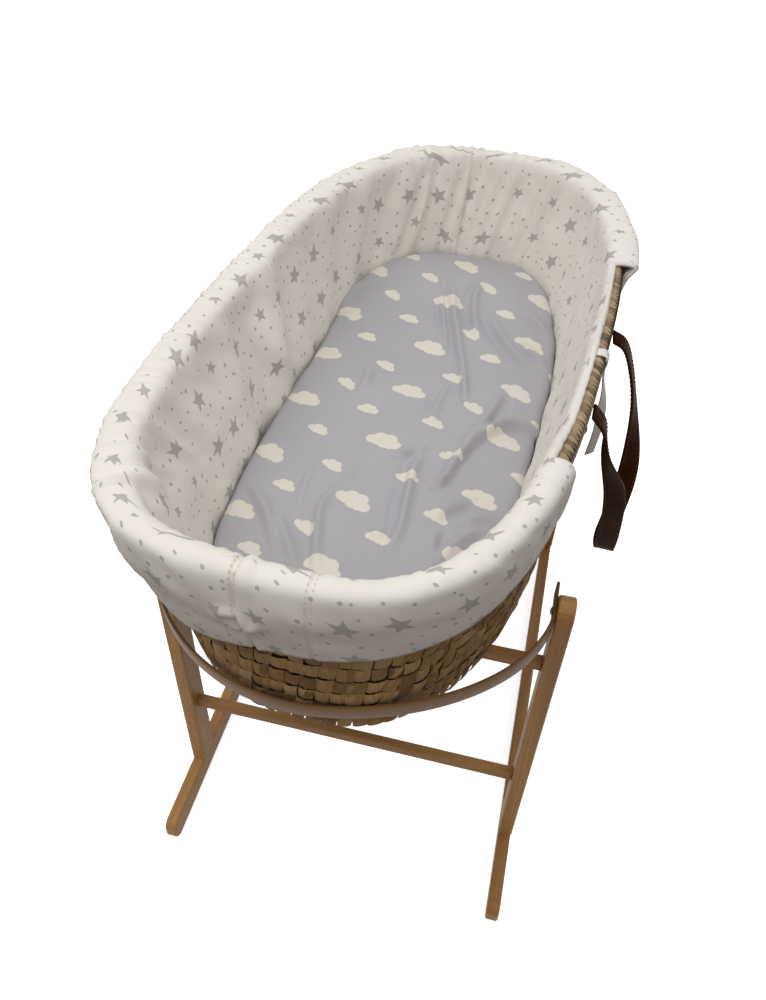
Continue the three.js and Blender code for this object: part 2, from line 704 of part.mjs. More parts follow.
/** Visible face of the liner, hem to lower edge. */
function linerFace() {
  const inner = -WALL_THICK - BINDING_OUTSIDE - SEAT_GAP - LINER_THICK;
  const outer = BINDING_OUTSIDE + SEAT_GAP + LINER_THICK;
  const crest = BINDING_RISE + LINER_THICK;
  return [
    ...SKIRT_RINGS.map((ring) => skirtRing(ring, outer)),
    wallRing(over(BINDING_RISE), outer - LINER_ROUNDING),
    wallRing(over(crest - LINER_SHOULDER), outer - LINER_THICK),
    wallRing(over(crest), -WALL_THICK / 2),
    wallRing(over(crest - LINER_SHOULDER), inner + LINER_THICK),
    wallRing(over(BINDING_RISE), inner + LINER_ROUNDING),
    ...innerDrop(wallRing(over(-BINDING_DROP), inner), BED_EASE),
  ];
}

/** Hidden face of the liner, lower edge to hem. */
function linerBack() {
  const inner = -WALL_THICK - BINDING_OUTSIDE - SEAT_GAP;
  const outer = BINDING_OUTSIDE + SEAT_GAP;
  return [
    ...innerDrop(wallRing(over(-BINDING_DROP - SEAT_GAP), inner), BED_EASE + LINER_THICK).reverse(),
    wallRing(over(BINDING_RISE - BINDING_SHOULDER), inner),
    wallRing(over(BINDING_RISE + SEAT_GAP), inner + BINDING_SHOULDER),
    wallRing(over(BINDING_RISE + SEAT_GAP), outer - BINDING_SHOULDER),
    wallRing(over(BINDING_RISE - BINDING_SHOULDER), outer),
    wallRing(over(-BINDING_DROP - SEAT_GAP), outer),
    ...SKIRT_RINGS.map((ring) => skirtRing(ring, outer)).reverse().slice(1),
  ];
}

function makeLiner() {
  const rings = [...linerFace(), ...linerBack()];
  const openEdge = OPEN_EDGE_LAP - WALL_THICK - BINDING_OUTSIDE;
  const gaps = [handleGap(1, openEdge), handleGap(-1, BINDING_OUTSIDE)];
  return piece('liner', cut(loft(rings, true), gaps), 'quilt');
}

/** Room for a handle: everything further out than `edge` from the wall, between the ends of the gap. */
function handleGap(side, edge) {
  const rings = [];
  for (let step = 0; step <= GAP_STEPS; step += 1) {
    const y = THREE.MathUtils.lerp(HANDLE_GAP_FROM, HANDLE_GAP_TO, step / GAP_STEPS);
    const low = sidePoint(side, y, WALL_BOTTOM, edge);
    const high = sidePoint(side, y, wallTop(y / TOP_HALF_LENGTH), edge);
    const above = high.clone().setZ(UPRIGHT_TOP * 2);
    const away = (point) => point.clone().setX(side * TOP_HALF_WIDTH * 2);
    rings.push([low, high, above, away(above), away(low)]);
  }
  return loft(rings, false);
}

/** Tape from the liner's cut edge over the binding and down the outside. */
function makeTie() {
  const u = TIE_Y / TOP_HALF_LENGTH;
  const lifted = BINDING_RISE + SEAT_GAP + TIE_THICK / 2;
  const outside = BINDING_OUTSIDE + SEAT_GAP + TIE_THICK / 2;
  const clear = outside + SEAT_GAP;
  const stations = [
    [TIE_START - WALL_THICK, lifted], [-WALL_THICK / 2, lifted], [outside - BINDING_SHOULDER, lifted],
    [clear, BINDING_RISE - BINDING_SHOULDER + TIE_BEND], [clear, -BINDING_DROP],
    ...TIE_HANG.map(({ part, away }) => [outside + away, -TIE_DROP * part]),
  ];
  const path = stations.map(([offset, lift]) => sidePoint(1, TIE_Y, wallTop(u) + lift, offset));
  const across = path.map(() => new THREE.Vector3(0, 1, 0));
  return piece('liner_tie', strip(path, across, TIE_WIDTH, TIE_THICK), 'quilt');
}

// ---------------------------------------------------------------- mattress

const MATTRESS_HALF_WIDTH = BASE_HALF_WIDTH - MATTRESS_SIDE_ROOM;
const MATTRESS_HALF_LENGTH = BASE_HALF_LENGTH - MATTRESS_END_ROOM;
const SHEET_BOTTOM = BASE_TOP + SEAT_GAP;
const FOAM_BOTTOM = SHEET_BOTTOM + SHEET_THICK + SEAT_GAP;
const MATTRESS_ANGLES = evenAngles(
  MATTRESS_STATIONS,
  MATTRESS_HALF_WIDTH,
  MATTRESS_HALF_LENGTH,
  MATTRESS_POWER,
);

/** Ring of the mattress outline, pulled in by `inset`. */
function mattressRing(inset, z) {
  const [a, b] = [MATTRESS_HALF_WIDTH - inset, MATTRESS_HALF_LENGTH - inset];
  const share = THREE.MathUtils.clamp((z - FOAM_BOTTOM) / MATTRESS_THICK, 0, 1);
  return MATTRESS_ANGLES.map((t) => {
    const { x, y } = ovalPoint(t, a, b, MATTRESS_POWER, 0, z);
    const rise = THREE.MathUtils.smoothstep(y / MATTRESS_HALF_LENGTH, MATTRESS_RISE_FROM, 1);
    return new THREE.Vector3(x, y + MATTRESS_SHIFT, z + MATTRESS_HEAD_RISE * rise * share);
  });
}

/** Side and top of the mattress as [inset, height], grown outwards by `grow`. */
function mattressProfile(grow) {
  const crown = FOAM_BOTTOM + MATTRESS_THICK;
  const shoulder = crown - MATTRESS_CROWN;
  const [edge, middle] = [MATTRESS_EDGE, MATTRESS_EDGE * MATTRESS_ROUNDING];
  const slant = grow * Math.SQRT1_2;
  return [
    [middle - grow, FOAM_BOTTOM + middle], [-grow, FOAM_BOTTOM + edge],
    [-grow, shoulder - edge], [middle - slant, shoulder - middle + slant], [edge, shoulder + grow],
    [CROWN_SLOPE, crown - MATTRESS_CROWN * CROWN_SLOPE_FALL + grow], [CROWN_FLAT, crown + grow],
  ];
}

function makeFoam() {
  const rings = [[MATTRESS_EDGE, FOAM_BOTTOM], ...mattressProfile(0)];
  return piece('mattress', loft(rings.map(([inset, z]) => mattressRing(inset, z)), false), 'foam');
}

/** Fitted sheet: a cap over the mattress, tucked under its edge; its facets follow the mattress's. */
function makeSheet() {
  const inside = mattressProfile(SEAT_GAP).reverse();
  const outside = mattressProfile(SEAT_GAP + SHEET_THICK);
  const under = [
    [MATTRESS_EDGE, FOAM_BOTTOM - SEAT_GAP], [MATTRESS_EDGE + SHEET_TUCK, FOAM_BOTTOM - SEAT_GAP],
    [MATTRESS_EDGE + SHEET_TUCK, SHEET_BOTTOM], [MATTRESS_EDGE, SHEET_BOTTOM],
  ];
  const profile = [...inside, ...under, ...outside];
  const rings = profile.map(([inset, z]) => mattressRing(inset, z).reverse());
  return piece('fitted_sheet', loft(rings, false), 'cotton');
}

// ---------------------------------------------------------------- handles

const TAB_ROWS = [['far', FAR_TAB_Y], ['near', NEAR_TAB_Y]];

/** Height of a tab's top, just under the binding. */
function tabTop(y) {
  return wallTop(y / TOP_HALF_LENGTH) - BINDING_DROP - TAB_TO_BINDING;
}

/** End of a strap, above a tab and just outside the binding. */
function strapEnd(side, y) {
  const z = tabTop(y) + TAB_TO_BINDING;
  return sidePoint(side, y, z, BINDING_OUTSIDE + STRAP_EASE + STRAP_THICK / 2);
}

/** Leather tab on the outside of the wall. */
function tabGeometry(side, y) {
  const rings = [];
  for (let step = 0; step <= TAB_STEPS; step += 1) {
    const z = tabTop(y) - TAB_LENGTH * (1 - step / TAB_STEPS);
    const half = TAB_WIDTH / 2;
    const [near, out] = [SEAT_GAP, SEAT_GAP + TAB_THICK];
    rings.push([[-half, near], [half, near], [half, out], [-half, out]].map(
      ([along, offset]) => sidePoint(side, y + along, z, offset),
    ));
  }
  return loft(rings, false);
}

/** Rivet geometry, or its bore, square through a tab and the wall; the dome faces outwards. */
function atRivet(geometry, side, y) {
  const z = tabTop(y) - TAB_LENGTH / 2;
  const seat = sidePoint(side, y, z, 0);
  const along = sidePoint(side, y + 1, z, 0).sub(seat);
  const up = sidePoint(side, y, z + 1, 0).sub(seat);
  const out = along.cross(up).normalize().multiplyScalar(side);
  geometry.applyQuaternion(new THREE.Quaternion().setFromUnitVectors(new THREE.Vector3(-1, 0, 0), out));
  seat.addScaledVector(out, 2 * SEAT_GAP + TAB_THICK + RIVET.headHeight);
  return geometry.translate(seat.x, seat.y, seat.z);
}

/** Rivet on the X axis: dome at x = 0 facing -x, shank towards +x. */
function rivetShape() {
  const profile = [
    [0, 0], [RIVET.crown, RIVET.crownHeight], [RIVET.head, RIVET.headHeight],
    [RIVET.shank, RIVET.headHeight], [RIVET.shank, RIVET.length], [0, RIVET.length],
  ];
  return turned(profile);
}

function makeTab([hand, side], [place, y]) {
  const hole = atRivet(bore(RIVET, 0), side, y);
  return piece(`tab_${place}_${hand}`, cut(tabGeometry(side, y), [hole]), 'leather');
}

function makeRivet([hand, side], [place, y]) {
  return piece(`rivet_${place}_${hand}`, atRivet(rivetShape(), side, y), 'brass');
}

/** Direction of the strap's width: along Y at the tabs, out from the basket at the bend. */
function strapAcross(side, part) {
  const away = Math.min(part, 1 - part);
  const turn = THREE.MathUtils.smoothstep(away, STRAP_TURN_FROM, STRAP_TURN_TO) * (Math.PI / 2);
  const way = part < 0.5 ? 1 : -1;
  return new THREE.Vector3(side * Math.sin(turn), way * Math.cos(turn), 0);
}

/** Middle line of a strap, far tab to near tab. */
function strapCurve(side) {
  const [far, near] = [strapEnd(side, FAR_TAB_Y), strapEnd(side, NEAR_TAB_Y)];
  const from = (end) => ([out, along, up]) => end.clone().add(new THREE.Vector3(side * out, along, up));
  const points = [
    far, ...STRAP_FAR_BENDS.map(from(far)), from(far)(STRAP_LOWEST),
    ...STRAP_NEAR_BENDS.map(from(near)), near,
  ];
  return new THREE.CatmullRomCurve3(points, false, 'centripetal');
}

function makeHandle([hand, side]) {
  const path = strapCurve(side).getSpacedPoints(STRAP_STEPS);
  const across = path.map((_, i) => strapAcross(side, i / STRAP_STEPS));
  return piece(`handle_${hand}`, strip(path, across, STRAP_WIDTH, STRAP_THICK), 'leather');
}

/** Basket wall with the rivets' bores. */
function makeBoredWall() {
  const wall = makeWall();
  const tools = HANDS.flatMap(([, side]) => TAB_ROWS.map(([, y]) => atRivet(bore(RIVET, 0), side, y)));
  return piece(wall.name, cut(wall.geometry, tools), 'braid');
}

function makeBasket() {
  const pairs = HANDS.flatMap((hand) => TAB_ROWS.map((row) => [hand, row]));
  const tabs = pairs.flatMap(([hand, row]) => [makeTab(hand, row), makeRivet(hand, row)]);
  return [makeBoredWall(), makeBase(), makeBinding(), makeLiner(), makeTie(), ...tabs];
}

// ---------------------------------------------------------------- assembly

const part = new THREE.Group();
part.name = 'bassinet_on_stand';
const basket = new THREE.Group();
basket.rotation.z = -TURN;
basket.add(...makeBasket(), makeFoam(), makeSheet(), ...HANDS.map(makeHandle));
part.add(...makeStand(), basket);

export default part;
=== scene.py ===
"""Moses basket on a wooden stand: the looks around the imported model.

Metres, in the model's own frame: X across, Y from foot to head, Z up, floor at Z = 0.
"""

from __future__ import annotations

import logging
import math
from contextlib import contextmanager
from dataclasses import dataclass, field, replace
from enum import Enum
from functools import cache, partial
from typing import Any, Callable, Iterator, Sequence

import bmesh
import bpy
import numpy as np
from mathutils import Matrix, Vector

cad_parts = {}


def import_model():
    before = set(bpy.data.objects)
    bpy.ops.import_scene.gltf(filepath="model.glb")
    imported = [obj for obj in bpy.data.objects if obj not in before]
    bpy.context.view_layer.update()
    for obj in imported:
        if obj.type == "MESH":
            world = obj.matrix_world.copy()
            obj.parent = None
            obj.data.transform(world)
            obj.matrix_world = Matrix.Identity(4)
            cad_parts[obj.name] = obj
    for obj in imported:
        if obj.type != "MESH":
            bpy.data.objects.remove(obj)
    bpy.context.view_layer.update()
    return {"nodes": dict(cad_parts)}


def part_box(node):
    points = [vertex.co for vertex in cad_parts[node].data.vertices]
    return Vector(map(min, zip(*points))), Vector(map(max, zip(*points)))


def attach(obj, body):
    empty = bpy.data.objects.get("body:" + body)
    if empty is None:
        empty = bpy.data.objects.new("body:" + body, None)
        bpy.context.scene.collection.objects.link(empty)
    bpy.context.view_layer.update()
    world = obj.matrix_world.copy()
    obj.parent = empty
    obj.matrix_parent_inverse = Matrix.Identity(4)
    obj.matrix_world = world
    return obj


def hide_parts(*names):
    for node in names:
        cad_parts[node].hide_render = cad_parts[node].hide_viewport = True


LOG = logging.getLogger("moses_basket")
MM = 0.001
PLAY = 0.0003  # room left between pieces that lie against each other
SIDE_Z = 0.6  # height at which places along the sides are measured

Colour = tuple[float, float, float, float]
Pair = tuple[float, float]
Array = np.ndarray
Adder = Callable[..., Any]


class Axis(Enum):
    """Direction in which a board's grain runs."""

    ACROSS = 0
    ALONG = 1
    UP = 2


class Body(Enum):
    """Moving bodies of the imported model."""

    STAND = "stand"
    BASKET = "basket"
    MATTRESS = "mattress"
    HANDLE_LEFT = "handle_left"
    HANDLE_RIGHT = "handle_right"


class Side(Enum):
    """Left or right of the basket, as the sign of X."""

    LEFT = -1
    RIGHT = 1


class End(Enum):
    """Foot or head of the basket, as the sign of Y."""

    FOOT = -1
    HEAD = 1


# ---------------- helpers


def linear(code: str) -> Colour:
    """Turn an sRGB hex colour into linear RGBA.

    Args:
        code: Six hex digits, with or without a leading #.

    Returns:
        The linear colour with alpha 1.
    """
    parts = [int(code.lstrip("#")[i : i + 2], 16) / 255 for i in (0, 2, 4)]
    curved = [p / 12.92 if p <= 0.04045 else ((p + 0.055) / 1.055) ** 2.4 for p in parts]
    return (curved[0], curved[1], curved[2], 1.0)


def add_node(tree: Any, kind: str, inputs: dict | None = None, **settings: Any) -> Any:
    """Add a node with its links and settings.

    Args:
        tree: Shader or geometry node tree.
        kind: The node's class name, for a shader node without its leading ShaderNode, and after a
            dot its operation where it has one.
        inputs: Values, sockets or nodes by socket name or index.
        settings: Properties to set; stops fills a colour ramp with (place, colour) pairs.

    Returns:
        The new node.
    """
    kind, _, operation = kind.partition(".")
    whole = kind.startswith(("Geometry", "Function", "NodeGroup"))
    made = tree.nodes.new(kind if whole else f"ShaderNode{kind}")
    if operation:
        made.operation = operation
    for count, (place, colour) in enumerate(settings.pop("stops", ())):
        ramp = made.color_ramp.elements
        stop = ramp[count] if count < len(ramp) else ramp.new(place)
        stop.position, stop.color = place, colour
    for name, value in settings.items():
        setattr(made, name, value)
    for key, value in (inputs or {}).items():
        source = value.outputs[0] if isinstance(value, bpy.types.Node) else value
        if isinstance(source, bpy.types.NodeSocket):
            tree.links.new(source, made.inputs[key])
        else:
            made.inputs[key].default_value = source
    return made


def signed_power(value: Array, power: Array | float) -> Array:
    """Power of the size with the sign kept."""
    return np.sign(value) * np.abs(value) ** power


def blend_step(value: Array | float, low: float, high: float) -> Array:
    """Smooth step from 0 at low to 1 at high."""
    part = np.clip((np.asarray(value, float) - low) / (high - low), 0, 1)
    return part * part * (3 - 2 * part)


def ripple(place: Array, lengths: Sequence[float], seed: int) -> Array:
    """Sum of sines with fixed random phases, about -1 to 1.

    Args:
        place: Positions along a line.
        lengths: Wavelengths, in the same unit.
        seed: Seed of the phases.

    Returns:
        The height at each place.
    """
    phases = np.random.default_rng(seed).random((len(lengths), 2))
    total = np.zeros_like(np.asarray(place, float))
    for length, (phase, stretch) in zip(lengths, phases):
        total += np.sin(2 * math.pi * (place / (length * (0.9 + 0.2 * stretch)) + phase))
    return total / math.sqrt(len(lengths))


def soft_noise(points: Array, size: float, seed: int) -> Array:
    """Smooth value noise in the plane.

    Args:
        points: (..., 2) positions.
        size: Cell size of the noise, in the same unit.
        seed: Seed of the cell values.

    Returns:
        Values from -1 to 1.
    """
    cells = 257
    table = np.random.default_rng(seed).random((cells, cells)) * 2 - 1
    place = points / size
    low = np.floor(place).astype(int)
    part = place - low
    part = part * part * (3 - 2 * part)
    x0, y0 = low[..., 0] % cells, low[..., 1] % cells
    x1, y1 = (x0 + 1) % cells, (y0 + 1) % cells
    bottom = table[x0, y0] * (1 - part[..., 0]) + table[x1, y0] * part[..., 0]
    top = table[x0, y1] * (1 - part[..., 0]) + table[x1, y1] * part[..., 0]
    return bottom * (1 - part[..., 1]) + top * part[..., 1]


def spline(points: Array, count: int) -> Array:
    """Centripetal Catmull-Rom curve through points, sampled evenly by length.

    Args:
        points: (n, 3) points.
        count: Number of samples.

    Returns:
        (count, 3) samples.
    """
    ends = np.vstack([2 * points[0] - points[1], points, 2 * points[-1] - points[-2]])
    parts = []
    for i in range(len(points) - 1):
        level = list(ends[i : i + 4])
        knots = np.concatenate([[0], np.cumsum(np.sqrt(np.linalg.norm(np.diff(level, axis=0), axis=1)))])
        t = np.linspace(knots[1], knots[2], 40, endpoint=False)[:, None]
        for reach in (1, 2):
            level = [((knots[k + reach] - t) * level[k] + (t - knots[k]) * level[k + 1])
                     / (knots[k + reach] - knots[k]) for k in range(4 - reach)]
        parts.append(((knots[2] - t) * level[0] + (t - knots[1]) * level[1]) / (knots[2] - knots[1]))
    return by_length(np.vstack([*parts, points[-1:]]), count)


def run_along(points: Array) -> Array:
    """Length run up to each row of points, from 0."""
    steps = np.linalg.norm(np.diff(points, axis=0), axis=-1)
    return np.concatenate([np.zeros((1, *steps.shape[1:])), np.cumsum(steps, axis=0)])


def by_length(line: Array, count: int) -> Array:
    """Sample a polyline evenly by length."""
    run = run_along(line)
    return np.stack([np.interp(np.linspace(0, run[-1], count), run, line[:, k]) for k in range(3)], axis=1)


def unit(vectors: Array) -> Array:
    """Vectors scaled to length 1."""
    return vectors / np.maximum(np.linalg.norm(vectors, axis=-1, keepdims=True), 1e-12)


def grid_normals(points: Array, row: int) -> Array:
    """Normals of a grid whose last column joins the first, turned so that those of one row look up."""
    across = (np.roll(points, -1, axis=1) - np.roll(points, 1, axis=1)) / 2
    normals = unit(np.cross(np.gradient(points, axis=0), across))
    return normals if normals[row, :, 2].mean() >= 0 else -normals


def make_object(name: str, mesh: Any) -> Any:
    """Put a mesh in the scene as an object at the origin."""
    made = bpy.data.objects.new(name, mesh)
    bpy.context.scene.collection.objects.link(made)
    return made


def corners(near: Array, far: Array) -> Array:
    """Corners of the faces between two sets of columns, row by row."""
    return np.stack([near[:-1], far[:-1], far[1:], near[1:]], axis=2)


def grid_object(name: str, points: Array, uv: Array | None = None, closed: bool = False) -> Any:
    """Make a smooth mesh from a grid of points.

    Args:
        name: Name of the object.
        points: (rows, columns, 3) grid, in metres.
        uv: Corner map as (rows - 1, spans, 4, 2), or map of the points as (rows, spans + 1, 2).
        closed: Whether the last column joins the first.

    Returns:
        The object.
    """
    rows, columns = points.shape[:2]
    index = np.arange(rows * columns).reshape(rows, columns)
    right = np.roll(index, -1, axis=1) if closed else index[:, 1:]
    left = index if closed else index[:, :-1]
    mesh = bpy.data.meshes.new(name)
    mesh.from_pydata(points.reshape(-1, 3).tolist(), [], corners(left, right).reshape(-1, 4).tolist())
    if uv is not None:
        uv = uv if uv.ndim == 4 else corners(uv[:, :-1], uv[:, 1:])
        layer = mesh.uv_layers.new(name="UVMap")
        layer.data.foreach_set("uv", uv.astype(np.float32).ravel())
    mesh.shade_smooth()
    return make_object(name, mesh)


def path_object(
    name: str, lines: Sequence[Array], outward: Sequence[Array], closed: bool = False
) -> Any:
    """Make an edge mesh of lines that carries the direction each point faces.

    Args:
        name: Name of the object.
        lines: (n, 3) lines, or single points.
        outward: (n, 3) directions, one set for each line.
        closed: Whether each line joins its own start.

    Returns:
        The object, with a point attribute "outward".
    """
    edges, start = [], 0
    for line in lines:
        count = len(np.atleast_2d(line))
        edges += [(start + i, start + i + 1) for i in range(count - 1)]
        edges += [(start + count - 1, start)] if closed else []
        start += count
    mesh = bpy.data.meshes.new(name)
    mesh.from_pydata(np.vstack(lines).tolist(), edges, [])
    faces = mesh.attributes.new("outward", "FLOAT_VECTOR", "POINT")
    faces.data.foreach_set("vector", np.vstack(outward).astype(np.float32).ravel())
    return make_object(name, mesh)


def bake(made: Any) -> Any:
    """Turn an object with modifiers into a plain mesh without them.

    Args:
        made: The object.

    Returns:
        The same object.
    """
    state = bpy.context.evaluated_depsgraph_get()
    mesh = bpy.data.meshes.new_from_object(
        made.evaluated_get(state), preserve_all_data_layers=True, depsgraph=state)
    made.modifiers.clear()
    made.data = mesh
    return made


def discard(*made: Any) -> None:
    """Remove helper objects."""
    for one in made:
        bpy.data.objects.remove(one)


def sweep(name: str, path: Array, across: Array, section: Array) -> Any:
    """Sweep a closed section along a path, with capped ends.

    Args:
        name: Name of the object.
        path: (n, 3) middle line.
        across: (n, 3) direction of the section's first axis.
        section: (m, 2) outline as (across, out).

    Returns:
        The object, mapped (round the section, along the path) in metres.
    """
    along = unit(np.gradient(path, axis=0))
    face = unit(np.cross(along, across))
    wide = np.cross(face, along)
    points = path[None] + section[:, 0, None, None] * wide[None] + section[:, 1, None, None] * face[None]
    turn = run_along(np.vstack([section, section[:1]]))
    uv = np.stack(np.meshgrid(turn, run_along(path)), axis=-1)
    made = grid_object(name, points.transpose(1, 0, 2), uv, closed=True)
    close_ends(made)
    return made


@contextmanager
def editing(made: Any) -> Iterator[Any]:
    """Open an object's mesh for work on its points and faces, and put it back afterwards.

    Args:
        made: The object.

    Yields:
        The open mesh.
    """
    work = bmesh.new()
    work.from_mesh(made.data)
    yield work
    work.to_mesh(made.data)
    work.free()


def face_up(work: Any) -> None:
    """Turn the faces of an open sheet round where the highest one looks down."""
    top = max(work.faces, key=lambda face: face.calc_center_median().z)
    if top.normal.z < 0:
        bmesh.ops.reverse_faces(work, faces=work.faces)


def close_ends(made: Any) -> None:
    """Fill open ends and point all faces outwards."""
    with editing(made) as work:
        bmesh.ops.holes_fill(work, edges=[e for e in work.edges if e.is_boundary], sides=0)
        bmesh.ops.recalc_face_normals(work, faces=work.faces)


def weld(made: Any, distance: float = 1e-5) -> None:
    """Join doubled points and point all faces outwards."""
    with editing(made) as work:
        bmesh.ops.remove_doubles(work, verts=work.verts, dist=distance)
        bmesh.ops.recalc_face_normals(work, faces=work.faces)


def thicken(made: Any, name: str, thick: float) -> Any:
    """Give a sheet its thickness, inwards from its face.

    Args:
        made: The sheet.
        name: Name of the modifier, and of the point group that thins it.
        thick: Thickness, in metres.

    Returns:
        The sheet as a plain mesh.
    """
    solid = made.modifiers.new(name, "SOLIDIFY")
    solid.thickness = thick
    solid.offset = -1.0
    if name in made.vertex_groups:
        solid.vertex_group = name
    solid.use_rim = True
    return bake(made)


def rounded_section(width: float, thick: float, radius: float) -> Array:
    """Outline of a flat strip with rounded edges, as (across, out) points.

    Args:
        width: Width of the strip.
        thick: Its thickness.
        radius: Radius of its edges.

    Returns:
        (12, 2) points.
    """
    points = []
    for cx, cy, start in ((1, 1, 0), (-1, 1, 90), (-1, -1, 180), (1, -1, 270)):
        for step in (0, 45, 90):
            angle = math.radians(start + step)
            points.append((cx * (width / 2 - radius) + radius * math.cos(angle),
                           cy * (thick / 2 - radius) + radius * math.sin(angle)))
    return np.array(points)


def dress(made: Any, body: Body, finish: Finish | None, slot: str, *stands_for: str) -> Any:
    """Give a finished piece its finish and body, and hide the model's nodes that it stands for.

    Args:
        made: The piece.
        body: The body it rides on.
        finish: Its finish, or None where it has its own.
        slot: Not used.
        stands_for: Names of the nodes that it replaces.

    Returns:
        The piece.
    """
    if finish is not None:
        paint(made, finish)
    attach(made, body.value)
    if stands_for:
        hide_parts(*stands_for)
    LOG.info("%s: %d faces", made.name, len(made.data.polygons))
    return made


def paint(made: Any, finish: Finish) -> None:
    """Give an object one finish all over."""
    made.data.materials.clear()
    made.data.materials.append(material_of(finish))


# ---------------- finishes


@dataclass(frozen=True)
class Finish:
    """A surface finish; each kind says what its surface shader is given."""

    name: str

    def build(self) -> Any:
        """Make the material."""
        material = bpy.data.materials.new(self.name)
        material.use_nodes = True
        material.node_tree.nodes.clear()
        add = partial(add_node, material.node_tree)
        shader = add("BsdfPrincipled", self.surface(add, add("TexCoord").outputs))
        add("OutputMaterial", {"Surface": shader})
        return material

    def surface(self, add: Adder, place: Any) -> dict[str, Any]:
        """Give the surface shader its values and sockets.

        Args:
            add: Adds a node to the material.
            place: The kinds of coordinates.

        Returns:
            What goes to the shader, by socket name.
        """
        raise NotImplementedError


@dataclass(frozen=True)
class Beech(Finish):
    """Planed beech under satin lacquer: long soft figure, short dark ray flecks, a dull sheen."""

    grain: Axis = Axis.UP
    offset: float = 0.0
    light: str = "C29258"
    middle: str = "A67945"
    dark: str = "815A31"
    fleck: str = "694725"
    mapped: bool = False

    def surface(self, add: Adder, place: Any) -> dict[str, Any]:
        """Long figure, fine fibre lines and short ray flecks, with the gloss following the figure."""
        shift = add("Mapping", {
            "Vector": place["UV" if self.mapped else "Object"],
            "Location": (self.offset, self.offset * 0.7, self.offset * 0.4)})
        broad, fine, spots = (
            self.stretched(add, shift, *scales) for scales in ((1.6, 26), (14, 620), (120, 900)))
        figure = add("TexNoise", {
            "Vector": broad, "Scale": 1.0, "Detail": 3.0, "Roughness": 0.55, "Distortion": 0.5})
        fibre = add("TexNoise", {"Vector": fine, "Scale": 1.0, "Detail": 2.0})
        flecks = add("TexNoise", {"Vector": spots, "Scale": 1.0, "Detail": 1.0})
        base = add("ValToRGB", {0: figure}, stops=[
            (0.3, linear(self.dark)), (0.5, linear(self.middle)), (0.7, linear(self.light))])
        streak = add("MapRange", {0: fibre, 1: 0.3, 2: 0.7, 3: 0.86, 4: 1.1})
        lined = add("VectorMath.SCALE", {0: base, "Scale": streak})
        rays = add("MapRange", {0: flecks, 1: 0.62, 2: 0.7, 3: 0.0, 4: 0.45})
        colour = add("Mix", {0: rays, 6: lined, 7: linear(self.fleck)}, data_type="RGBA")
        return {"Base Color": colour.outputs[2], "Specular IOR Level": 0.25,
                "Roughness": add("MapRange", {0: figure, 3: 0.44, 4: 0.6}),
                "Normal": add("Bump", {"Strength": 0.35, "Distance": 0.0002, "Height": fibre})}

    def stretched(self, add: Adder, shift: Any, along: float, across: float) -> Any:
        """Coordinates drawn out along the grain.

        Args:
            add: Adds a node to the material.
            shift: Mapping node to start from.
            along: Scale along the grain, per metre.
            across: Scale across it.

        Returns:
            A mapping node.
        """
        scale = [across] * 3
        scale[self.grain.value] = along
        return add("Mapping", {"Vector": shift, "Scale": scale})


@dataclass(frozen=True)
class DryLeaf(Finish):
    """Dried maize leaf, split and plaited: matt, fibrous, each strip of its own tone."""

    light: str = "B9986A"
    middle: str = "9E7C4C"
    dark: str = "745730"
    fibre_mm: float = 1.1

    def surface(self, add: Adder, place: Any) -> dict[str, Any]:
        """Tone of the strip's own, broken by patches, with fibre lines along the leaf."""
        tone = add("Attribute", attribute_name="tone")
        lines = add("Mapping", {"Vector": place["UV"], "Scale": (1 / (self.fibre_mm * MM), 45.0, 1.0)})
        fibre = add("TexNoise", {"Vector": lines, "Scale": 1.0, "Detail": 2.5})
        patch = add("TexNoise", {"Vector": place["Object"], "Scale": 38.0, "Detail": 3.0})
        spread = add("Math.MULTIPLY_ADD", {0: patch, 1: 0.6, 2: -0.3})
        level = add("Math.ADD", {0: tone.outputs["Fac"], 1: spread})
        base = add("ValToRGB", {0: level}, stops=[
            (0.02, linear(self.dark)), (0.42, linear(self.middle)), (0.95, linear(self.light))])
        shade = add("MapRange", {0: fibre, 1: 0.3, 2: 0.7, 3: 0.62, 4: 1.14})
        return {"Base Color": add("VectorMath.SCALE", {0: base, "Scale": shade}),
                "Roughness": 0.82, "Specular IOR Level": 0.25,
                "Normal": add("Bump", {"Strength": 0.7, "Distance": 0.0006, "Height": fibre})}


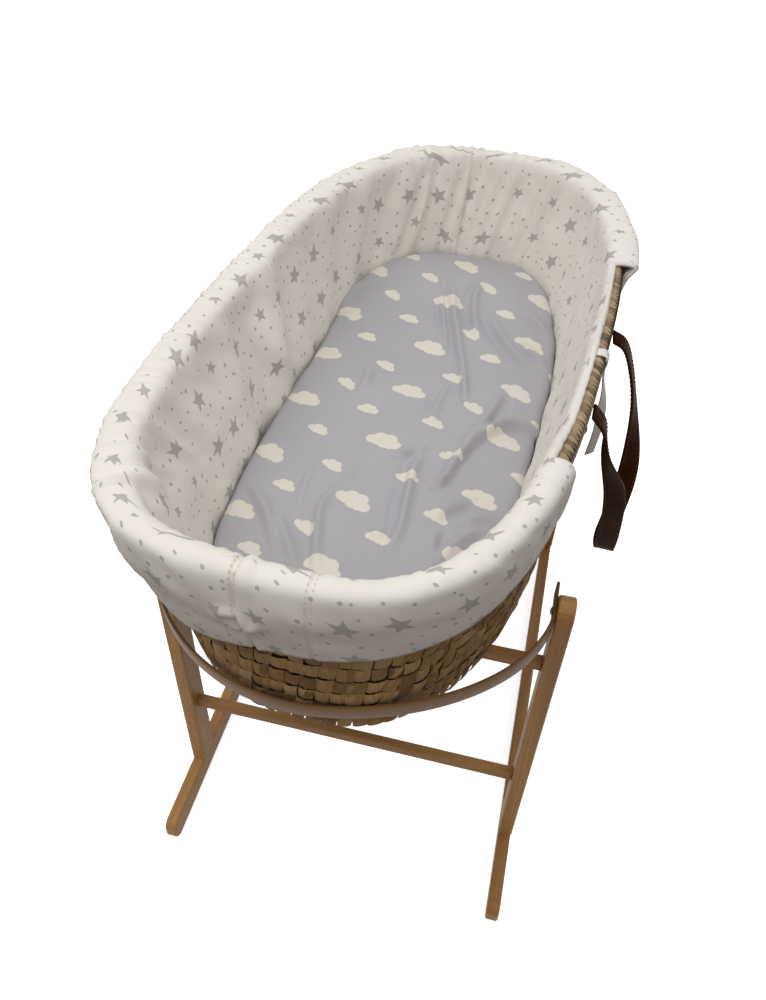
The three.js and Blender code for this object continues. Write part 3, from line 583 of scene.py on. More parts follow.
@dataclass(frozen=True)
class Cotton(Finish):
    """Woven cotton: dead matt, faint thread grid, slightly uneven dye. Subclasses print on it."""

    ground: str = "E7E3DB"
    shade: str = "D9D3C8"
    thread_mm: float = 0.9  # real threads are 0.3 mm, drawn coarser so that they show
    sheen: float = 0.12

    def surface(self, add: Adder, place: Any) -> dict[str, Any]:
        """Slightly uneven ground with the print on it and the relief of the threads."""
        uneven = add("TexNoise", {"Vector": place["Object"], "Scale": 9.0, "Detail": 4.0})
        ground = add("Mix", {0: uneven, 6: linear(self.ground), 7: linear(self.shade)}, data_type="RGBA")
        return {"Base Color": self.printed(add, place["UV"], ground.outputs[2]), "Roughness": 0.92,
                "Sheen Weight": self.sheen, "Sheen Roughness": 0.5,
                "Normal": add("Bump", {
                    "Strength": 0.3, "Distance": 0.0004, "Height": self.threads(add, place["UV"])})}

    def printed(self, add: Adder, place: Any, ground: Any) -> Any:
        """Colour with the print on the ground; plain cotton has none."""
        return ground

    def threads(self, add: Adder, place: Any) -> Any:
        """Height of a plain weave, as the product of two sets of threads.

        Args:
            add: Adds a node to the material.
            place: Map of the cloth, in metres.

        Returns:
            The height socket.
        """
        pitch = math.pi / (self.thread_mm * MM)
        scaled = add("VectorMath.SCALE", {0: place, "Scale": pitch})
        split = add("SeparateXYZ", {0: scaled})
        warp = add("Math.SINE", {0: split.outputs[0]})
        weft = add("Math.SINE", {0: split.outputs[1]})
        woven = add("Math.MULTIPLY", {0: warp, 1: weft})
        slub = add("TexNoise", {"Vector": place, "Scale": 700.0, "Detail": 2.0})
        return add("Math.ADD", {0: woven, 1: slub}).outputs[0]

    @staticmethod
    def scattered(add: Adder, place: Any, pitch: float, spread: float) -> tuple[Any, Any, Any]:
        """Scatter centres over the cloth.

        Args:
            add: Adds a node to the material.
            place: Map of the cloth, in metres.
            pitch: Mean distance between centres, in metres.
            spread: How far they stray from a square lattice, 0 to 1.

        Returns:
            The centre's position, the offset from it, and three random numbers for it.
        """
        cells = add("TexVoronoi", {
            "Vector": place, "Scale": 1 / pitch, "Randomness": spread}, voronoi_dimensions="2D")
        centre = cells.outputs["Position"]
        offset = add("VectorMath.SUBTRACT", {0: place, 1: centre})
        chance = add("SeparateColor", {0: cells.outputs["Color"]})
        return centre, offset.outputs[0], chance


@dataclass(frozen=True)
class StarCotton(Cotton):
    """White cotton over wadding with a screen print of grey-brown stars and dots."""

    ink: str = "B3ADA8"
    large_mm: float = 13.2
    small_mm: float = 9.2
    star_pitch_mm: float = 57.0
    dot_pitch_mm: float = 20.0
    dot_mm: float = 1.95
    clear_mm: float = 17.0  # dots keep this far from a star's middle
    waist: float = 0.44  # inner corners of a star, as a share of its points
    strays: Pair = (0.36, 0.72)  # how far stars and dots stray from their lattices, 0 to 1
    edge_mm: float = 0.3  # softness of the print's edge

    def printed(self, add: Adder, place: Any, ground: Any) -> Any:
        """Ground colour with stars and dots."""
        _, offset, chance = self.scattered(add, place, self.star_pitch_mm * MM, self.strays[0])
        star = self.star(add, offset, chance)
        dot_at, dot_offset, dot_chance = self.scattered(add, place, self.dot_pitch_mm * MM, self.strays[1])
        near = add("TexVoronoi", {
            "Vector": dot_at, "Scale": 1000 / self.star_pitch_mm, "Randomness": self.strays[0]},
            voronoi_dimensions="2D")
        clear = add("Math.GREATER_THAN", {
            0: near.outputs["Distance"], 1: self.clear_mm / self.star_pitch_mm})
        away = add("VectorMath.LENGTH", {0: dot_offset})
        size = add("MapRange", {
            0: dot_chance.outputs[0], 3: self.dot_mm * 0.72 * MM, 4: self.dot_mm * 1.15 * MM})
        dots = add("Math.MULTIPLY", {0: self.inked(add, away.outputs["Value"], size), 1: clear})
        both = add("Math.MAXIMUM", {0: star, 1: dots})
        worn = add("Math.MULTIPLY", {0: both, 1: 0.92})
        return add("Mix", {0: worn, 6: ground, 7: linear(self.ink)}, data_type="RGBA").outputs[2]

    def inked(self, add: Adder, away: Any, size: Any) -> Any:
        """Mask of the print where a distance is under a size, with a soft edge.

        Args:
            add: Adds a node to the material.
            away: Distance from the middle.
            size: Distance of the edge.

        Returns:
            The mask node, 1 inside.
        """
        edge = add("Math.SUBTRACT", {0: away, 1: size})
        soft = self.edge_mm * MM
        return add("MapRange", {0: edge, 1: soft, 2: -soft, 3: 0.0, 4: 1.0})

    def star(self, add: Adder, offset: Any, chance: Any) -> Any:
        """Mask of a five-pointed star round its centre.

        Args:
            add: Adds a node to the material.
            offset: Offset from the centre, in metres.
            chance: Three random numbers of this star.

        Returns:
            The mask node, 1 inside.
        """
        turn = add("MapRange", {0: chance.outputs[0], 3: -0.45, 4: 0.45})
        turned = add("VectorRotate", {"Vector": offset, "Angle": turn}, rotation_type="Z_AXIS")
        split = add("SeparateXYZ", {0: turned})
        angle = add("Math.ARCTAN2", {0: split.outputs[0], 1: split.outputs[1]})
        folded = add("Math.WRAP", {0: angle, 1: math.pi / 5, 2: -math.pi / 5})
        half = add("Math.ABSOLUTE", {0: folded})
        reach = add("VectorMath.LENGTH", {0: offset})
        inner = math.pi / 5
        normal = Vector((self.waist * math.sin(inner), 1 - self.waist * math.cos(inner))).normalized()
        swung = add("Math.SUBTRACT", {0: half, 1: math.atan2(normal.y, normal.x)})
        share = add("Math.COSINE", {0: swung})
        along = add("Math.MULTIPLY", {0: reach.outputs["Value"], 1: share})
        big = add("Math.GREATER_THAN", {0: chance.outputs[1], 1: 0.5})
        size = add("MapRange", {0: big, 3: self.small_mm * normal.x * MM, 4: self.large_mm * normal.x * MM})
        return self.inked(add, along, size)


@dataclass(frozen=True)
class CloudCotton(Cotton):
    """Thin grey-lavender cotton with a pale half-drop print: one large cloud to two small ones."""

    ink: str = "D8D2C6"
    repeat_mm: Pair = (123.0, 100.0)
    large_mm: float = 45.0
    small_mm: float = 29.0
    stray_mm: float = 9.0
    puffs: tuple = (  # places and radii of a cloud's bulges, as shares of its width
        (-0.32, -0.07, 0.16), (-0.14, 0.07, 0.19), (0.10, 0.10, 0.20), (0.33, -0.04, 0.15),
        (0.02, -0.08, 0.19), (0.20, -0.10, 0.14), (-0.18, -0.11, 0.13))

    def printed(self, add: Adder, place: Any, ground: Any) -> Any:
        """Ground colour with the three sets of clouds of a repeat."""
        across, along = (step * MM for step in self.repeat_mm)
        sets = ((self.large_mm, 0.53, 0.1), (self.small_mm, 0.87, 0.6), (self.small_mm, 0.2, 0.6))
        mask = None
        for part, (size, x, y) in enumerate(sets):
            cloud = self.clouds(add, place, size, (x * across, y * along, 7.0 * part))
            mask = cloud if mask is None else add("Math.MAXIMUM", {0: mask, 1: cloud})
        return add("Mix", {0: mask, 6: ground, 7: linear(self.ink)}, data_type="RGBA").outputs[2]

    def repeated(self, add: Adder, place: Any, shift: tuple) -> tuple[Any, Any]:
        """Split the cloth into half-drop repeats.

        Args:
            add: Adds a node to the material.
            place: Map of the cloth, in metres.
            shift: Offset of the repeats in metres, and a seed.

        Returns:
            The offset from the middle of the repeat, and three random numbers for it.
        """
        across, along = (step * MM for step in self.repeat_mm)
        moved = add("VectorMath.ADD", {0: place, 1: (*shift[:2], 0.0)})
        split = add("SeparateXYZ", {0: moved})
        column = add("Math.SNAP", {0: split.outputs[0], 1: across})
        odd = add("Math.PINGPONG", {0: column, 1: across})
        drop = add("Math.MULTIPLY_ADD", {0: odd, 1: along / across / 2, 2: split.outputs[1]})
        row = add("Math.SNAP", {0: drop, 1: along})
        corner = add("CombineXYZ", {0: column, 1: row, 2: shift[2]})
        chance = add("TexWhiteNoise", {"Vector": corner}, noise_dimensions="3D")
        stray = add("VectorMath.SCALE", {0: chance.outputs["Color"], "Scale": self.stray_mm * MM})
        there = add("CombineXYZ", {0: split.outputs[0], 1: drop})
        local = add("VectorMath.SUBTRACT", {0: there, 1: corner})
        centred = add("VectorMath.SUBTRACT", {0: local, 1: (across / 2, along / 2, 0.0)})
        offset = add("VectorMath.ADD", {0: centred, 1: stray})
        return offset.outputs[0], add("SeparateColor", {0: chance.outputs["Color"]})

    def clouds(self, add: Adder, place: Any, size_mm: float, shift: tuple) -> Any:
        """Mask of one set of clouds.

        Args:
            add: Adds a node to the material.
            place: Map of the cloth, in metres.
            size_mm: Width of a cloud.
            shift: Offset of the set in metres, and its seed.

        Returns:
            The mask node, 1 inside.
        """
        offset, chance = self.repeated(add, place, shift)
        turn = add("MapRange", {0: chance.outputs[1], 3: 0.12, 4: 0.55})
        upright = add("VectorRotate", {"Vector": offset, "Angle": turn}, rotation_type="Z_AXIS")
        flat = add("VectorMath.MULTIPLY", {0: upright, 1: (1000 / size_mm, 1000 / size_mm, 0.0)})
        flip = add("Math.GREATER_THAN", {0: chance.outputs[0], 1: 0.5})
        way = add("MapRange", {0: flip, 3: -1.0, 4: 1.0})
        mirror = add("CombineXYZ", {0: way, 1: 1.0})
        scaled = add("VectorMath.MULTIPLY", {0: flat, 1: mirror})
        nearest = None
        for x, y, radius in self.puffs:
            away = add("VectorMath.DISTANCE", {0: scaled, 1: (x, y, 0.0)})
            depth = add("Math.SUBTRACT", {0: away.outputs["Value"], 1: radius})
            nearest = depth if nearest is None else add("Math.MINIMUM", {0: nearest, 1: depth})
        return add("MapRange", {0: nearest, 1: 0.012, 2: -0.012, 3: 0.0, 4: 1.0})


@dataclass(frozen=True)
class Hide(Finish):
    """Vegetable-tanned leather, dyed dark brown: pebbled grain, low gloss, paler rubbed patches."""

    ground: str = "2E1406"
    rubbed: str = "46260E"
    grain_mm: float = 1.4

    def surface(self, add: Adder, place: Any) -> dict[str, Any]:
        """Pebbled relief, and rubbed patches that are paler and glossier."""
        pebble = add("TexVoronoi", {"Vector": place["Object"], "Scale": 1000 / self.grain_mm}, feature="F1")
        rub = add("TexNoise", {"Vector": place["Object"], "Scale": 22.0, "Detail": 5.0, "Roughness": 0.65})
        worn = add("MapRange", {0: rub, 1: 0.42, 2: 0.75, 3: 0.0, 4: 0.8})
        colour = add("Mix", {0: worn, 6: linear(self.ground), 7: linear(self.rubbed)}, data_type="RGBA")
        return {"Base Color": colour.outputs[2], "Specular IOR Level": 0.03,
                "Roughness": add("MapRange", {0: rub, 3: 0.62, 4: 0.42}),
                "Normal": add("Bump", {
                    "Strength": 0.45, "Distance": 0.0004, "Height": pebble.outputs["Distance"]})}


@dataclass(frozen=True)
class Metal(Finish):
    """Turned and plated fastener metal, slightly dulled by handling."""

    tint: str = "A9A7A2"
    roughness: float = 0.35

    def surface(self, add: Adder, place: Any) -> dict[str, Any]:
        """Fine smears that change tone and gloss a little."""
        smear = add("TexNoise", {"Vector": place["Object"], "Scale": 420.0, "Detail": 3.0})
        tone = add("MapRange", {0: smear, 3: 0.78, 4: 1.08})
        colour = add("VectorMath.SCALE", {0: linear(self.tint)[:3], "Scale": tone})
        return {"Base Color": colour, "Metallic": 1.0,
                "Roughness": add("MapRange", {
                    0: smear, 3: self.roughness - 0.08, 4: self.roughness + 0.14}),
                "Normal": add("Bump", {"Strength": 0.2, "Distance": 0.0001, "Height": smear})}


@dataclass(frozen=True)
class Backdrop(Finish):
    """Plain pale floor: white to the eye, duller to the light it throws back up."""

    seen: str = "FFFFFF"
    thrown: str = "54452C"
    glow: float = 0.72

    def surface(self, add: Adder, place: Any) -> dict[str, Any]:
        """One colour for the eye and for mirrored or seen-through rays, another for thrown light."""
        rays = add("LightPath").outputs
        gloss = add("Math.MAXIMUM", {0: rays["Is Camera Ray"], 1: rays["Is Glossy Ray"]})
        through = add("Math.MAXIMUM", {0: gloss, 1: rays["Is Transmission Ray"]})
        colour = add("Mix", {0: through, 6: linear(self.thrown), 7: linear(self.seen)}, data_type="RGBA")
        return {"Base Color": colour.outputs[2], "Roughness": 0.9, "Emission Color": (1, 1, 1, 1),
                "Emission Strength": add("Math.MULTIPLY", {0: through, 1: self.glow})}


@cache
def material_of(finish: Finish) -> Any:
    """The material of a finish, made once."""
    return finish.build()


LINER_CLOTH = StarCotton("cotton_star_print", ground="F0EBE3", shade="E5DFD6")
TRIM_CLOTH = Cotton("cotton_white_tape", ground="ECE7DE", shade="E0DAD0")
PAD_CLOTH = Cotton("cotton_mattress_cover", ground="EEEBE4", shade="E2DED4")
SHEET_CLOTH = CloudCotton("cotton_cloud_print", ground="B0AEB2", shade="A3A1A6", sheen=0.15)
THREAD = Cotton("cotton_sewing_thread", ground="D8D2C6", shade="C9C2B4")
DARK_THREAD = Cotton("waxed_linen_thread", ground="6B4A2E", shade="553820")
PLAIT = DryLeaf("maize_leaf_plaited")
# Same maize leaf with darkened colours: painted shade for the core and channel that show between the strips,
# and for the base under the basket.
LEAF_IN_SHADE = DryLeaf("maize_leaf_in_shadow", light="655030", middle="503D21", dark="302411")
WRAP = DryLeaf("maize_leaf_rim_wrap", light="BBA584", middle="9C8767", dark="6A583F")
LEATHER = Hide("leather_brown_tanned")
ZINC = Metal("steel_zinc_plated", tint="A9A7A2", roughness=0.38)
BRASS = Metal("brass_aged", tint="9C7E44", roughness=0.36)
LATH = Beech("beech_bent_lath", light="87662F", middle="70502A", dark="573C1E", mapped=True,
             offset=0.3, grain=Axis.ALONG)


# ---------------- geometry node trees


@dataclass
class NodeTool:
    """A geometry node tree that is built once and used through named inputs."""

    name: str
    tree: Any = None
    keys: dict[str, str] = field(default_factory=dict)

    def open(self, **kinds: str) -> tuple[Adder, Any]:
        """Start the tree with a geometry input and output and the named inputs.

        Args:
            kinds: Kind of socket by input name, with _ for a space.

        Returns:
            What adds a node to the tree, and the tree's inputs.
        """
        self.tree = bpy.data.node_groups.new(self.name, "GeometryNodeTree")
        self.tree.is_modifier = True
        sockets = self.tree.interface
        sockets.new_socket("Geometry", in_out="OUTPUT", socket_type="NodeSocketGeometry")
        for name, kind in {"Geometry": "Geometry", **kinds}.items():
            made = sockets.new_socket(name.replace("_", " "), in_out="INPUT", socket_type=f"NodeSocket{kind}")
            self.keys[name] = made.identifier
        add = partial(add_node, self.tree)
        return add, add("NodeGroupInput").outputs

    def use(self, made: Any, **values: Any) -> Any:
        """Run the tree on an object and keep the result as its mesh.

        Args:
            made: The object.
            values: Input values by name.

        Returns:
            The object with a plain mesh.
        """
        modifier = made.modifiers.new(self.name, "NODES")
        modifier.node_group = self.tree
        for name, value in values.items():
            modifier[self.keys[name]] = value
        return bake(made)


def copies_tool() -> NodeTool:
    """Tree that sets copies of a small piece along lines, and keeps a body under them.

    Returns:
        The tool, with inputs for the lines, the copy, its pitch, tilt, spread and seed.
    """
    tool = NodeTool("copies_along_lines")
    add, given = tool.open(
        Lines="Object", Copy="Object", Pitch="Float", Tilt="Float", Tilt_Spread="Float",
        Size_Spread="Float", Lift_Spread="Float", Seed="Int", Finish="Material")
    lines, copy = (
        add("GeometryNodeObjectInfo", {"Object": given[name]}).outputs["Geometry"]
        for name in ("Lines", "Copy"))
    spaced = add("GeometryNodeResampleCurve", {
        "Curve": add("GeometryNodeMeshToCurve", {"Mesh": lines}), "Length": given["Pitch"]}, mode="LENGTH")
    outward = add("GeometryNodeInputNamedAttribute", {"Name": "outward"}, data_type="FLOAT_VECTOR")
    facing = add("FunctionNodeAxesToRotation", {
        "Primary Axis": outward.outputs[0], "Secondary Axis": add("GeometryNodeInputTangent")},
        primary_axis="Z", secondary_axis="X")
    low, high, least, most = (
        add(f"Math.{way}", {0: middle, 1: given[spread]})
        for middle, spread in ((given["Tilt"], "Tilt Spread"), (1.0, "Size Spread"))
        for way in ("SUBTRACT", "ADD"))
    ranges = ((low, high, 0.0), (least, most, 7.0), (least, most, 13.0), (0.0, 1.0, 29.0),
              (0.0, given["Lift Spread"], 31.0))
    lean, wide, tall, tone, lift = (
        add("FunctionNodeRandomValue", {
            2: start, 3: end, 8: add("Math.ADD", {0: given["Seed"], 1: shift})},
            data_type="FLOAT").outputs[1]
        for start, end, shift in ranges)
    turned = add("FunctionNodeRotateRotation", {
        "Rotation": facing, "Rotate By": add("CombineXYZ", {2: lean})}, rotation_space="LOCAL")
    set_out = add("GeometryNodeInstanceOnPoints", {
        "Points": spaced, "Instance": copy, "Rotation": turned,
        "Scale": add("CombineXYZ", {0: wide, 1: tall, 2: 1.0})})
    toned = add("GeometryNodeStoreNamedAttribute", {
        "Geometry": set_out, "Name": "tone", "Value": tone}, data_type="FLOAT", domain="INSTANCE")
    raised = add("GeometryNodeTranslateInstances", {
        "Instances": toned, "Translation": add("CombineXYZ", {2: lift})})
    real = add("GeometryNodeRealizeInstances", {"Geometry": raised})
    finished = add("GeometryNodeSetMaterial", {"Geometry": real, "Material": given["Finish"]})
    joined = add("GeometryNodeJoinGeometry", {0: given["Geometry"]})
    tool.tree.links.new(finished.outputs[0], joined.inputs[0])
    add("NodeGroupOutput", {0: joined})
    return tool


def fastener_tool() -> NodeTool:
    """Tree that sets a fastener on every point, its axis along the point's direction.

    Returns:
        The tool, with inputs for the fastener, its seed and its finish.
    """
    tool = NodeTool("fasteners_on_points")
    add, given = tool.open(Fastener="Object", Seed="Int", Finish="Material")
    one = add("GeometryNodeObjectInfo", {"Object": given["Fastener"]})
    outward = add("GeometryNodeInputNamedAttribute", {"Name": "outward"}, data_type="FLOAT_VECTOR")
    facing = add("FunctionNodeAlignRotationToVector", {"Vector": outward.outputs[0]}, axis="Z")
    spin = add("FunctionNodeRandomValue", {2: 0.0, 3: math.pi, 8: given["Seed"]}, data_type="FLOAT")
    turned = add("FunctionNodeRotateRotation", {
        "Rotation": facing, "Rotate By": add("CombineXYZ", {2: spin.outputs[1]})}, rotation_space="LOCAL")
    placed = add("GeometryNodeInstanceOnPoints", {
        "Points": given["Geometry"], "Instance": one.outputs["Geometry"], "Rotation": turned})
    real = add("GeometryNodeRealizeInstances", {"Geometry": placed})
    finished = add("GeometryNodeSetMaterial", {"Geometry": real, "Material": given["Finish"]})
    add("NodeGroupOutput", {0: finished})
    return tool


# ---------------- small copies


@dataclass(frozen=True)
class LeafStrip:
    """One strip of leaf laid over a row: tucked in below, standing proud at its ragged top."""

    width: float = 0.0150
    height: float = 0.0208
    proud: float = 0.0026
    tuck: float = 0.0017
    lean: float = 0.0024
    ragged: float = 0.0007
    curl: float = 0.0013  # how far its long edges turn in
    tip: float = 0.0014  # how far its top edge turns in
    columns: int = 5
    rows: int = 5

    def build(self, name: str) -> Any:
        """Make the strip with X along the row, Y up and Z outwards.

        Args:
            name: Name of the object.

        Returns:
            The strip.
        """
        p, q = np.meshgrid(np.linspace(0, 1, self.columns), np.linspace(0, 1, self.rows))
        x = (p - 0.5) * self.width * (1 - 0.10 * (1 - q)) + self.lean * (q - 0.5)
        y = (q - 0.5) * self.height + self.ragged * np.sin(p * 9.0 + 1.0) * q ** 4
        z = self.proud * q ** 0.8 - self.tuck * (1 - q) ** 3 - self.curl * np.abs(2 * p - 1) ** 5
        z -= self.tip * np.clip((q - 0.8) / 0.2, 0, 1) ** 2
        uv = np.stack([p * self.width, q * self.height], axis=-1)
        return grid_object(name, np.stack([x, y, z], axis=-1), uv)


@dataclass(frozen=True)
class Stitch:
    """One visible stitch: a short thread that dips into the cloth at both ends."""

    length: float = 0.0034
    radius: float = 0.00042
    dip: float = 0.0007
    sides: int = 5

    def build(self, name: str) -> Any:
        """Make the stitch with X along the seam and Z outwards.

        Args:
            name: Name of the object.

        Returns:
            The stitch.
        """
        rows = []
        for part in np.linspace(-1, 1, 5):
            swell = self.radius * (1 - 0.75 * abs(part) ** 3)
            turn = np.linspace(0, 2 * math.pi, self.sides, endpoint=False)
            rows.append(np.stack([np.full(self.sides, part * self.length / 2), swell * np.cos(turn),
                                  swell * np.sin(turn) + self.radius - self.dip * part ** 2], axis=-1))
        made = grid_object(name, np.array(rows), closed=True)
        close_ends(made)
        return made


@dataclass(frozen=True)
class Fastener:
    """Turned fastener seen from its head: a domed or flat cap, a socket and a plain shank."""

    head: float
    height: float
    shank: float
    length: float
    socket: float = 0.0
    socket_depth: float = 0.0
    dome: float = 0.0

    def build(self, name: str) -> Any:
        """Make the fastener with its head's top at the origin, facing Z.

        Args:
            name: Name of the object.

        Returns:
            The fastener.
        """
        hexagon, circle = 6, 24
        profile = []
        if self.socket:
            profile += [(0.0, -self.socket_depth, hexagon), (self.socket, -self.socket_depth, hexagon),
                        (self.socket, 0.0, hexagon), (self.socket * 1.12, 0.0002, circle)]
        arc = np.linspace(0, math.pi / 2, 7)
        top = [(self.head * math.sin(a), (math.cos(a) - 1) * self.dome) for a in arc]
        profile += [(r, z, circle) for r, z in top if r > self.socket * 1.2]
        lower = [(self.head, min(profile[-1][1], -self.height * 0.8)), (self.head * 0.93, -self.height),
                 (self.shank, -self.height), (self.shank, -self.length), (0.0, -self.length - self.shank)]
        profile += [(r, z, circle) for r, z in lower]
        turn = np.linspace(0, 2 * math.pi, circle, endpoint=False)
        rings = []
        for radius, z, sides in profile:
            sector = np.mod(turn, 2 * math.pi / sides) - math.pi / sides
            reach = radius * (math.cos(math.pi / sides) / np.cos(sector) if sides == hexagon else 1.0)
            ring = [reach * np.cos(turn), reach * np.sin(turn), np.full_like(turn, z)]
            rings.append(np.stack(ring, axis=-1))
        made = grid_object(name, np.array(rings), closed=True)
        close_ends(made)
        return made


# ---------------- basket


@dataclass(frozen=True)
class BasketForm:
    """Outside of the plaited wall: an oval that flares and lies slightly turned on the stand."""

    turn: float = math.radians(3.5)
    base_half: Pair = (0.190, 0.388)
    top_half: Pair = (0.206, 0.415)
    base_power: Pair = (2.5, 2.6)
    top_power: Pair = (3.1, 2.65)
    skew: float = 0.011
    bottom: float = 0.3773
    height: float = 0.2177
    end_rise: float = 0.006
    thick: float = 0.008
    rim_outside: float = 0.004  # the wrapped rim outside the wall, over its top and down its side
    rim_rise: float = 0.008
    rim_drop: float = 0.013
    bed_half: Pair = (0.151, 0.367)  # outline of the mattress
    bed_power: Pair = (3.1, 2.9)
    bed_shift: float = 0.003

    def power(self, t: Array, foot: Array | float, head: Array | float) -> Array:
        """The foot or the head half's power at each angle."""
        return np.where(np.sin(t) < 0, foot, head)

    def along(self, t: Array) -> Array:
        """Place along the basket, -1 at the foot to 1 at the head."""
        return signed_power(np.sin(t), 2 / self.power(t, *self.top_power))

    def top(self, t: Array) -> Array:
        """Height of the wall's top edge."""
        return self.bottom + self.height + self.end_rise * self.along(t) ** 2

    def point(self, t: Array, z: Array, offset: Array | float) -> Array:
        """Points of the wall in the basket's own frame.

        Args:
            t: Angles round the oval.
            z: Heights.
            offset: Distance outside the wall.

        Returns:
            (..., 3) points.
        """
        part = np.clip((z - self.bottom) / (self.top(t) - self.bottom), 0, 1.1)
        half = [self.base_half[k] + (self.top_half[k] - self.base_half[k]) * part for k in (0, 1)]
        powers = [self.base_power[k] + (self.top_power[k] - self.base_power[k]) * part for k in (0, 1)]
        points = oval_point(t, half[0], half[1], self.power(t, *powers), offset, z)
        points[..., 0] += self.skew / self.top_half[1] * part * points[..., 1]
        return points

    def placed(self, points: Array) -> Array:
        """Points or directions turned from the basket's frame into the model's."""
        c, s = math.cos(self.turn), math.sin(self.turn)
        x, y = points[..., 0], points[..., 1]
        return np.stack([x * c + y * s, y * c - x * s, points[..., 2]], axis=-1)

    def even_angles(self, count: int) -> Array:
        """Angles spaced evenly round the top edge."""
        return self.angles_at(np.linspace(0, self.around(), count, endpoint=False))

    def around(self) -> float:
        """Length of the top edge."""
        return float(self.run()[1][-1])

    def run(self) -> tuple[Array, Array]:
        """Fine angles and the length of the top edge up to each."""
        t = np.linspace(0, 2 * math.pi, 8001)
        return t, run_along(self.point(t, self.top(t), 0.0))

    def angles_at(self, lengths: Array) -> Array:
        """Angles at given lengths along the top edge."""
        return np.interp(lengths, *self.run()[::-1])

    def length_at(self, t: Array | float) -> Array:
        """Length along the top edge at given angles."""
        return np.interp(t, *self.run())

    def side_angle(self, side: Side, y: float, z: float = SIDE_Z) -> float:
        """Angle of the point of a side at a given Y."""
        t = np.linspace(-math.pi / 2, math.pi / 2, 4001)
        found = float(np.interp(y, self.point(t, np.full_like(t, z), 0.0)[:, 1], t))
        return found % (2 * math.pi) if side is Side.RIGHT else math.pi - found

    def line(self, t: Array, z: Array, offset: float) -> tuple[Array, Array]:
        """Line beside the wall in the model's frame, and the way that it faces.

        Args:
            t: Angles round the oval.
            z: Heights.
            offset: Distance outside the wall.

        Returns:
            Points and unit directions.
        """
        line = self.point(t, z, offset)
        ahead = self.point(t, z, offset + 0.01) - line
        return self.placed(line), self.placed(unit(ahead))


def oval_point(t: Array, a: Any, b: Any, power: Array, offset: Any, z: Any) -> Array:
    """Points of a squared oval, moved outwards.

    Args:
        t: Angles.
        a: Half width.
        b: Half length.
        power: Squareness; 2 is an ellipse.
        offset: Distance outwards.
        z: Heights.

    Returns:
        (..., 3) points.
    """
    c, s = np.cos(t), np.sin(t)
    bend = 2 - 2 / power
    nx, ny = signed_power(c, bend) / a, signed_power(s, bend) / b
    size = np.hypot(nx, ny)
    x = a * signed_power(c, 2 / power) + nx / size * offset
    y = b * signed_power(s, 2 / power) + ny / size * offset
    return np.stack(np.broadcast_arrays(x, y, z), axis=-1).astype(float)


def fuller(ring: Array) -> Array:
    """Ring of the bed pushed out where the soft goods fill the basket: at the head and its left corner.

    Args:
        ring: (..., 3) points, before any shift.

    Returns:
        The moved points.
    """
    along = ring[..., 1] / FORM.bed_half[1]
    corner = blend_step(-ring[..., 0] / FORM.bed_half[0], 0.35, 0.9) * blend_step(along, 0.2, 0.6)
    push = 0.0125 * corner * (1 - blend_step(along, 0.85, 1.0))
    head = 0.005 * blend_step(along, 0.75, 1.0)
    return ring + np.stack([-0.9 * push, 0.35 * push + head, np.zeros_like(push)], axis=-1)


FORM = BasketForm()


@dataclass
class PlaitedWall:
    """Wall of the basket: rows of plaited leaf over a core in the leaf's colours darkened as painted shade,
    with slivers between the rows.
    """

    copies: NodeTool
    rows: int = 10
    stations: int = 180
    pitch: float = 0.0149
    sunk: float = 0.0020  # how far inside the wall's face the strips are set

    def build(self) -> None:
        """Make the wall, with broad and narrow strips on every row and slivers between the rows."""
        wall = self.core()
        # The core shows between the strips, painted darker as shade.
        paint(wall, LEAF_IN_SHADE)
        rows = self.row_lines("plait_rows", self.rows, 0.5, -self.sunk)
        seams = self.row_lines("plait_seams", self.rows - 1, 0.98, -self.sunk - 0.0012)
        broad = LeafStrip().build("leaf_broad")
        narrow = LeafStrip(width=0.0090, height=0.0190, proud=0.0033, lean=0.0056).build("leaf_narrow")
        sliver = LeafStrip(width=0.0015, height=0.0100, proud=0.0030, tuck=0.0006, lean=0.004,
                           columns=2, rows=3).build("leaf_sliver")
        layers = (
            dict(Lines=rows, Copy=broad, Pitch=self.pitch, Tilt=0.04, Tilt_Spread=0.09, Size_Spread=0.13,
                 Lift_Spread=0.0010, Seed=4),
            dict(Lines=rows, Copy=narrow, Pitch=self.pitch * 2.7, Tilt=0.12, Tilt_Spread=0.16,
                 Size_Spread=0.14, Lift_Spread=0.0008, Seed=17),
            dict(Lines=seams, Copy=sliver, Pitch=0.019, Tilt=0.2, Tilt_Spread=1.2, Size_Spread=0.35,
                 Lift_Spread=0.0012, Seed=23))
        for layer in layers:
            wall = self.copies.use(wall, **layer, Finish=material_of(PLAIT))
        discard(rows, seams, broad, narrow, sliver)
        dress(wall, Body.BASKET, None, "braid", "basket_wall")

    def row_lines(self, name: str, count: int, part: float, offset: float) -> Any:
        """Lines along the rows.

        Args:
            name: Name of the helper.
            count: Number of rows, from the bottom.
            part: Height within a row, 0 at its bottom and 1 at its top.
            offset: Distance outside the wall.

        Returns:
            The edge mesh.
        """
        t = FORM.even_angles(self.stations)
        lines, outward = [], []
        for row in range(count):
            level = (row + part) / self.rows
            z = FORM.bottom + (FORM.top(t) - FORM.bottom) * level
            line, facing = FORM.line(t, z, offset)
            lines.append(line)
            outward.append(facing)
        return path_object(name, lines, outward, closed=True)

    def core(self) -> Any:
        """Closed shell under the strips, grooved between the rows.

        Returns:
            The shell.
        """
        t = FORM.even_angles(self.stations)
        heights, offsets = [0.0], [-0.0095]
        for row in range(self.rows):
            heights += [(row + 0.5) / self.rows, (row + 1) / self.rows]
            offsets += [-0.0022, -0.0048]
        heights += [1.0, 0.04, 0.0]
        offsets += [-FORM.thick, -FORM.thick, -FORM.thick - 0.007]
        span = FORM.top(t) - FORM.bottom
        rings = [FORM.point(t, FORM.bottom + span * part, offset) for part, offset in zip(heights, offsets)]
        made = grid_object("plaited_wall", FORM.placed(np.array([*rings, rings[0]])), closed=True)
        weld(made)
        return made


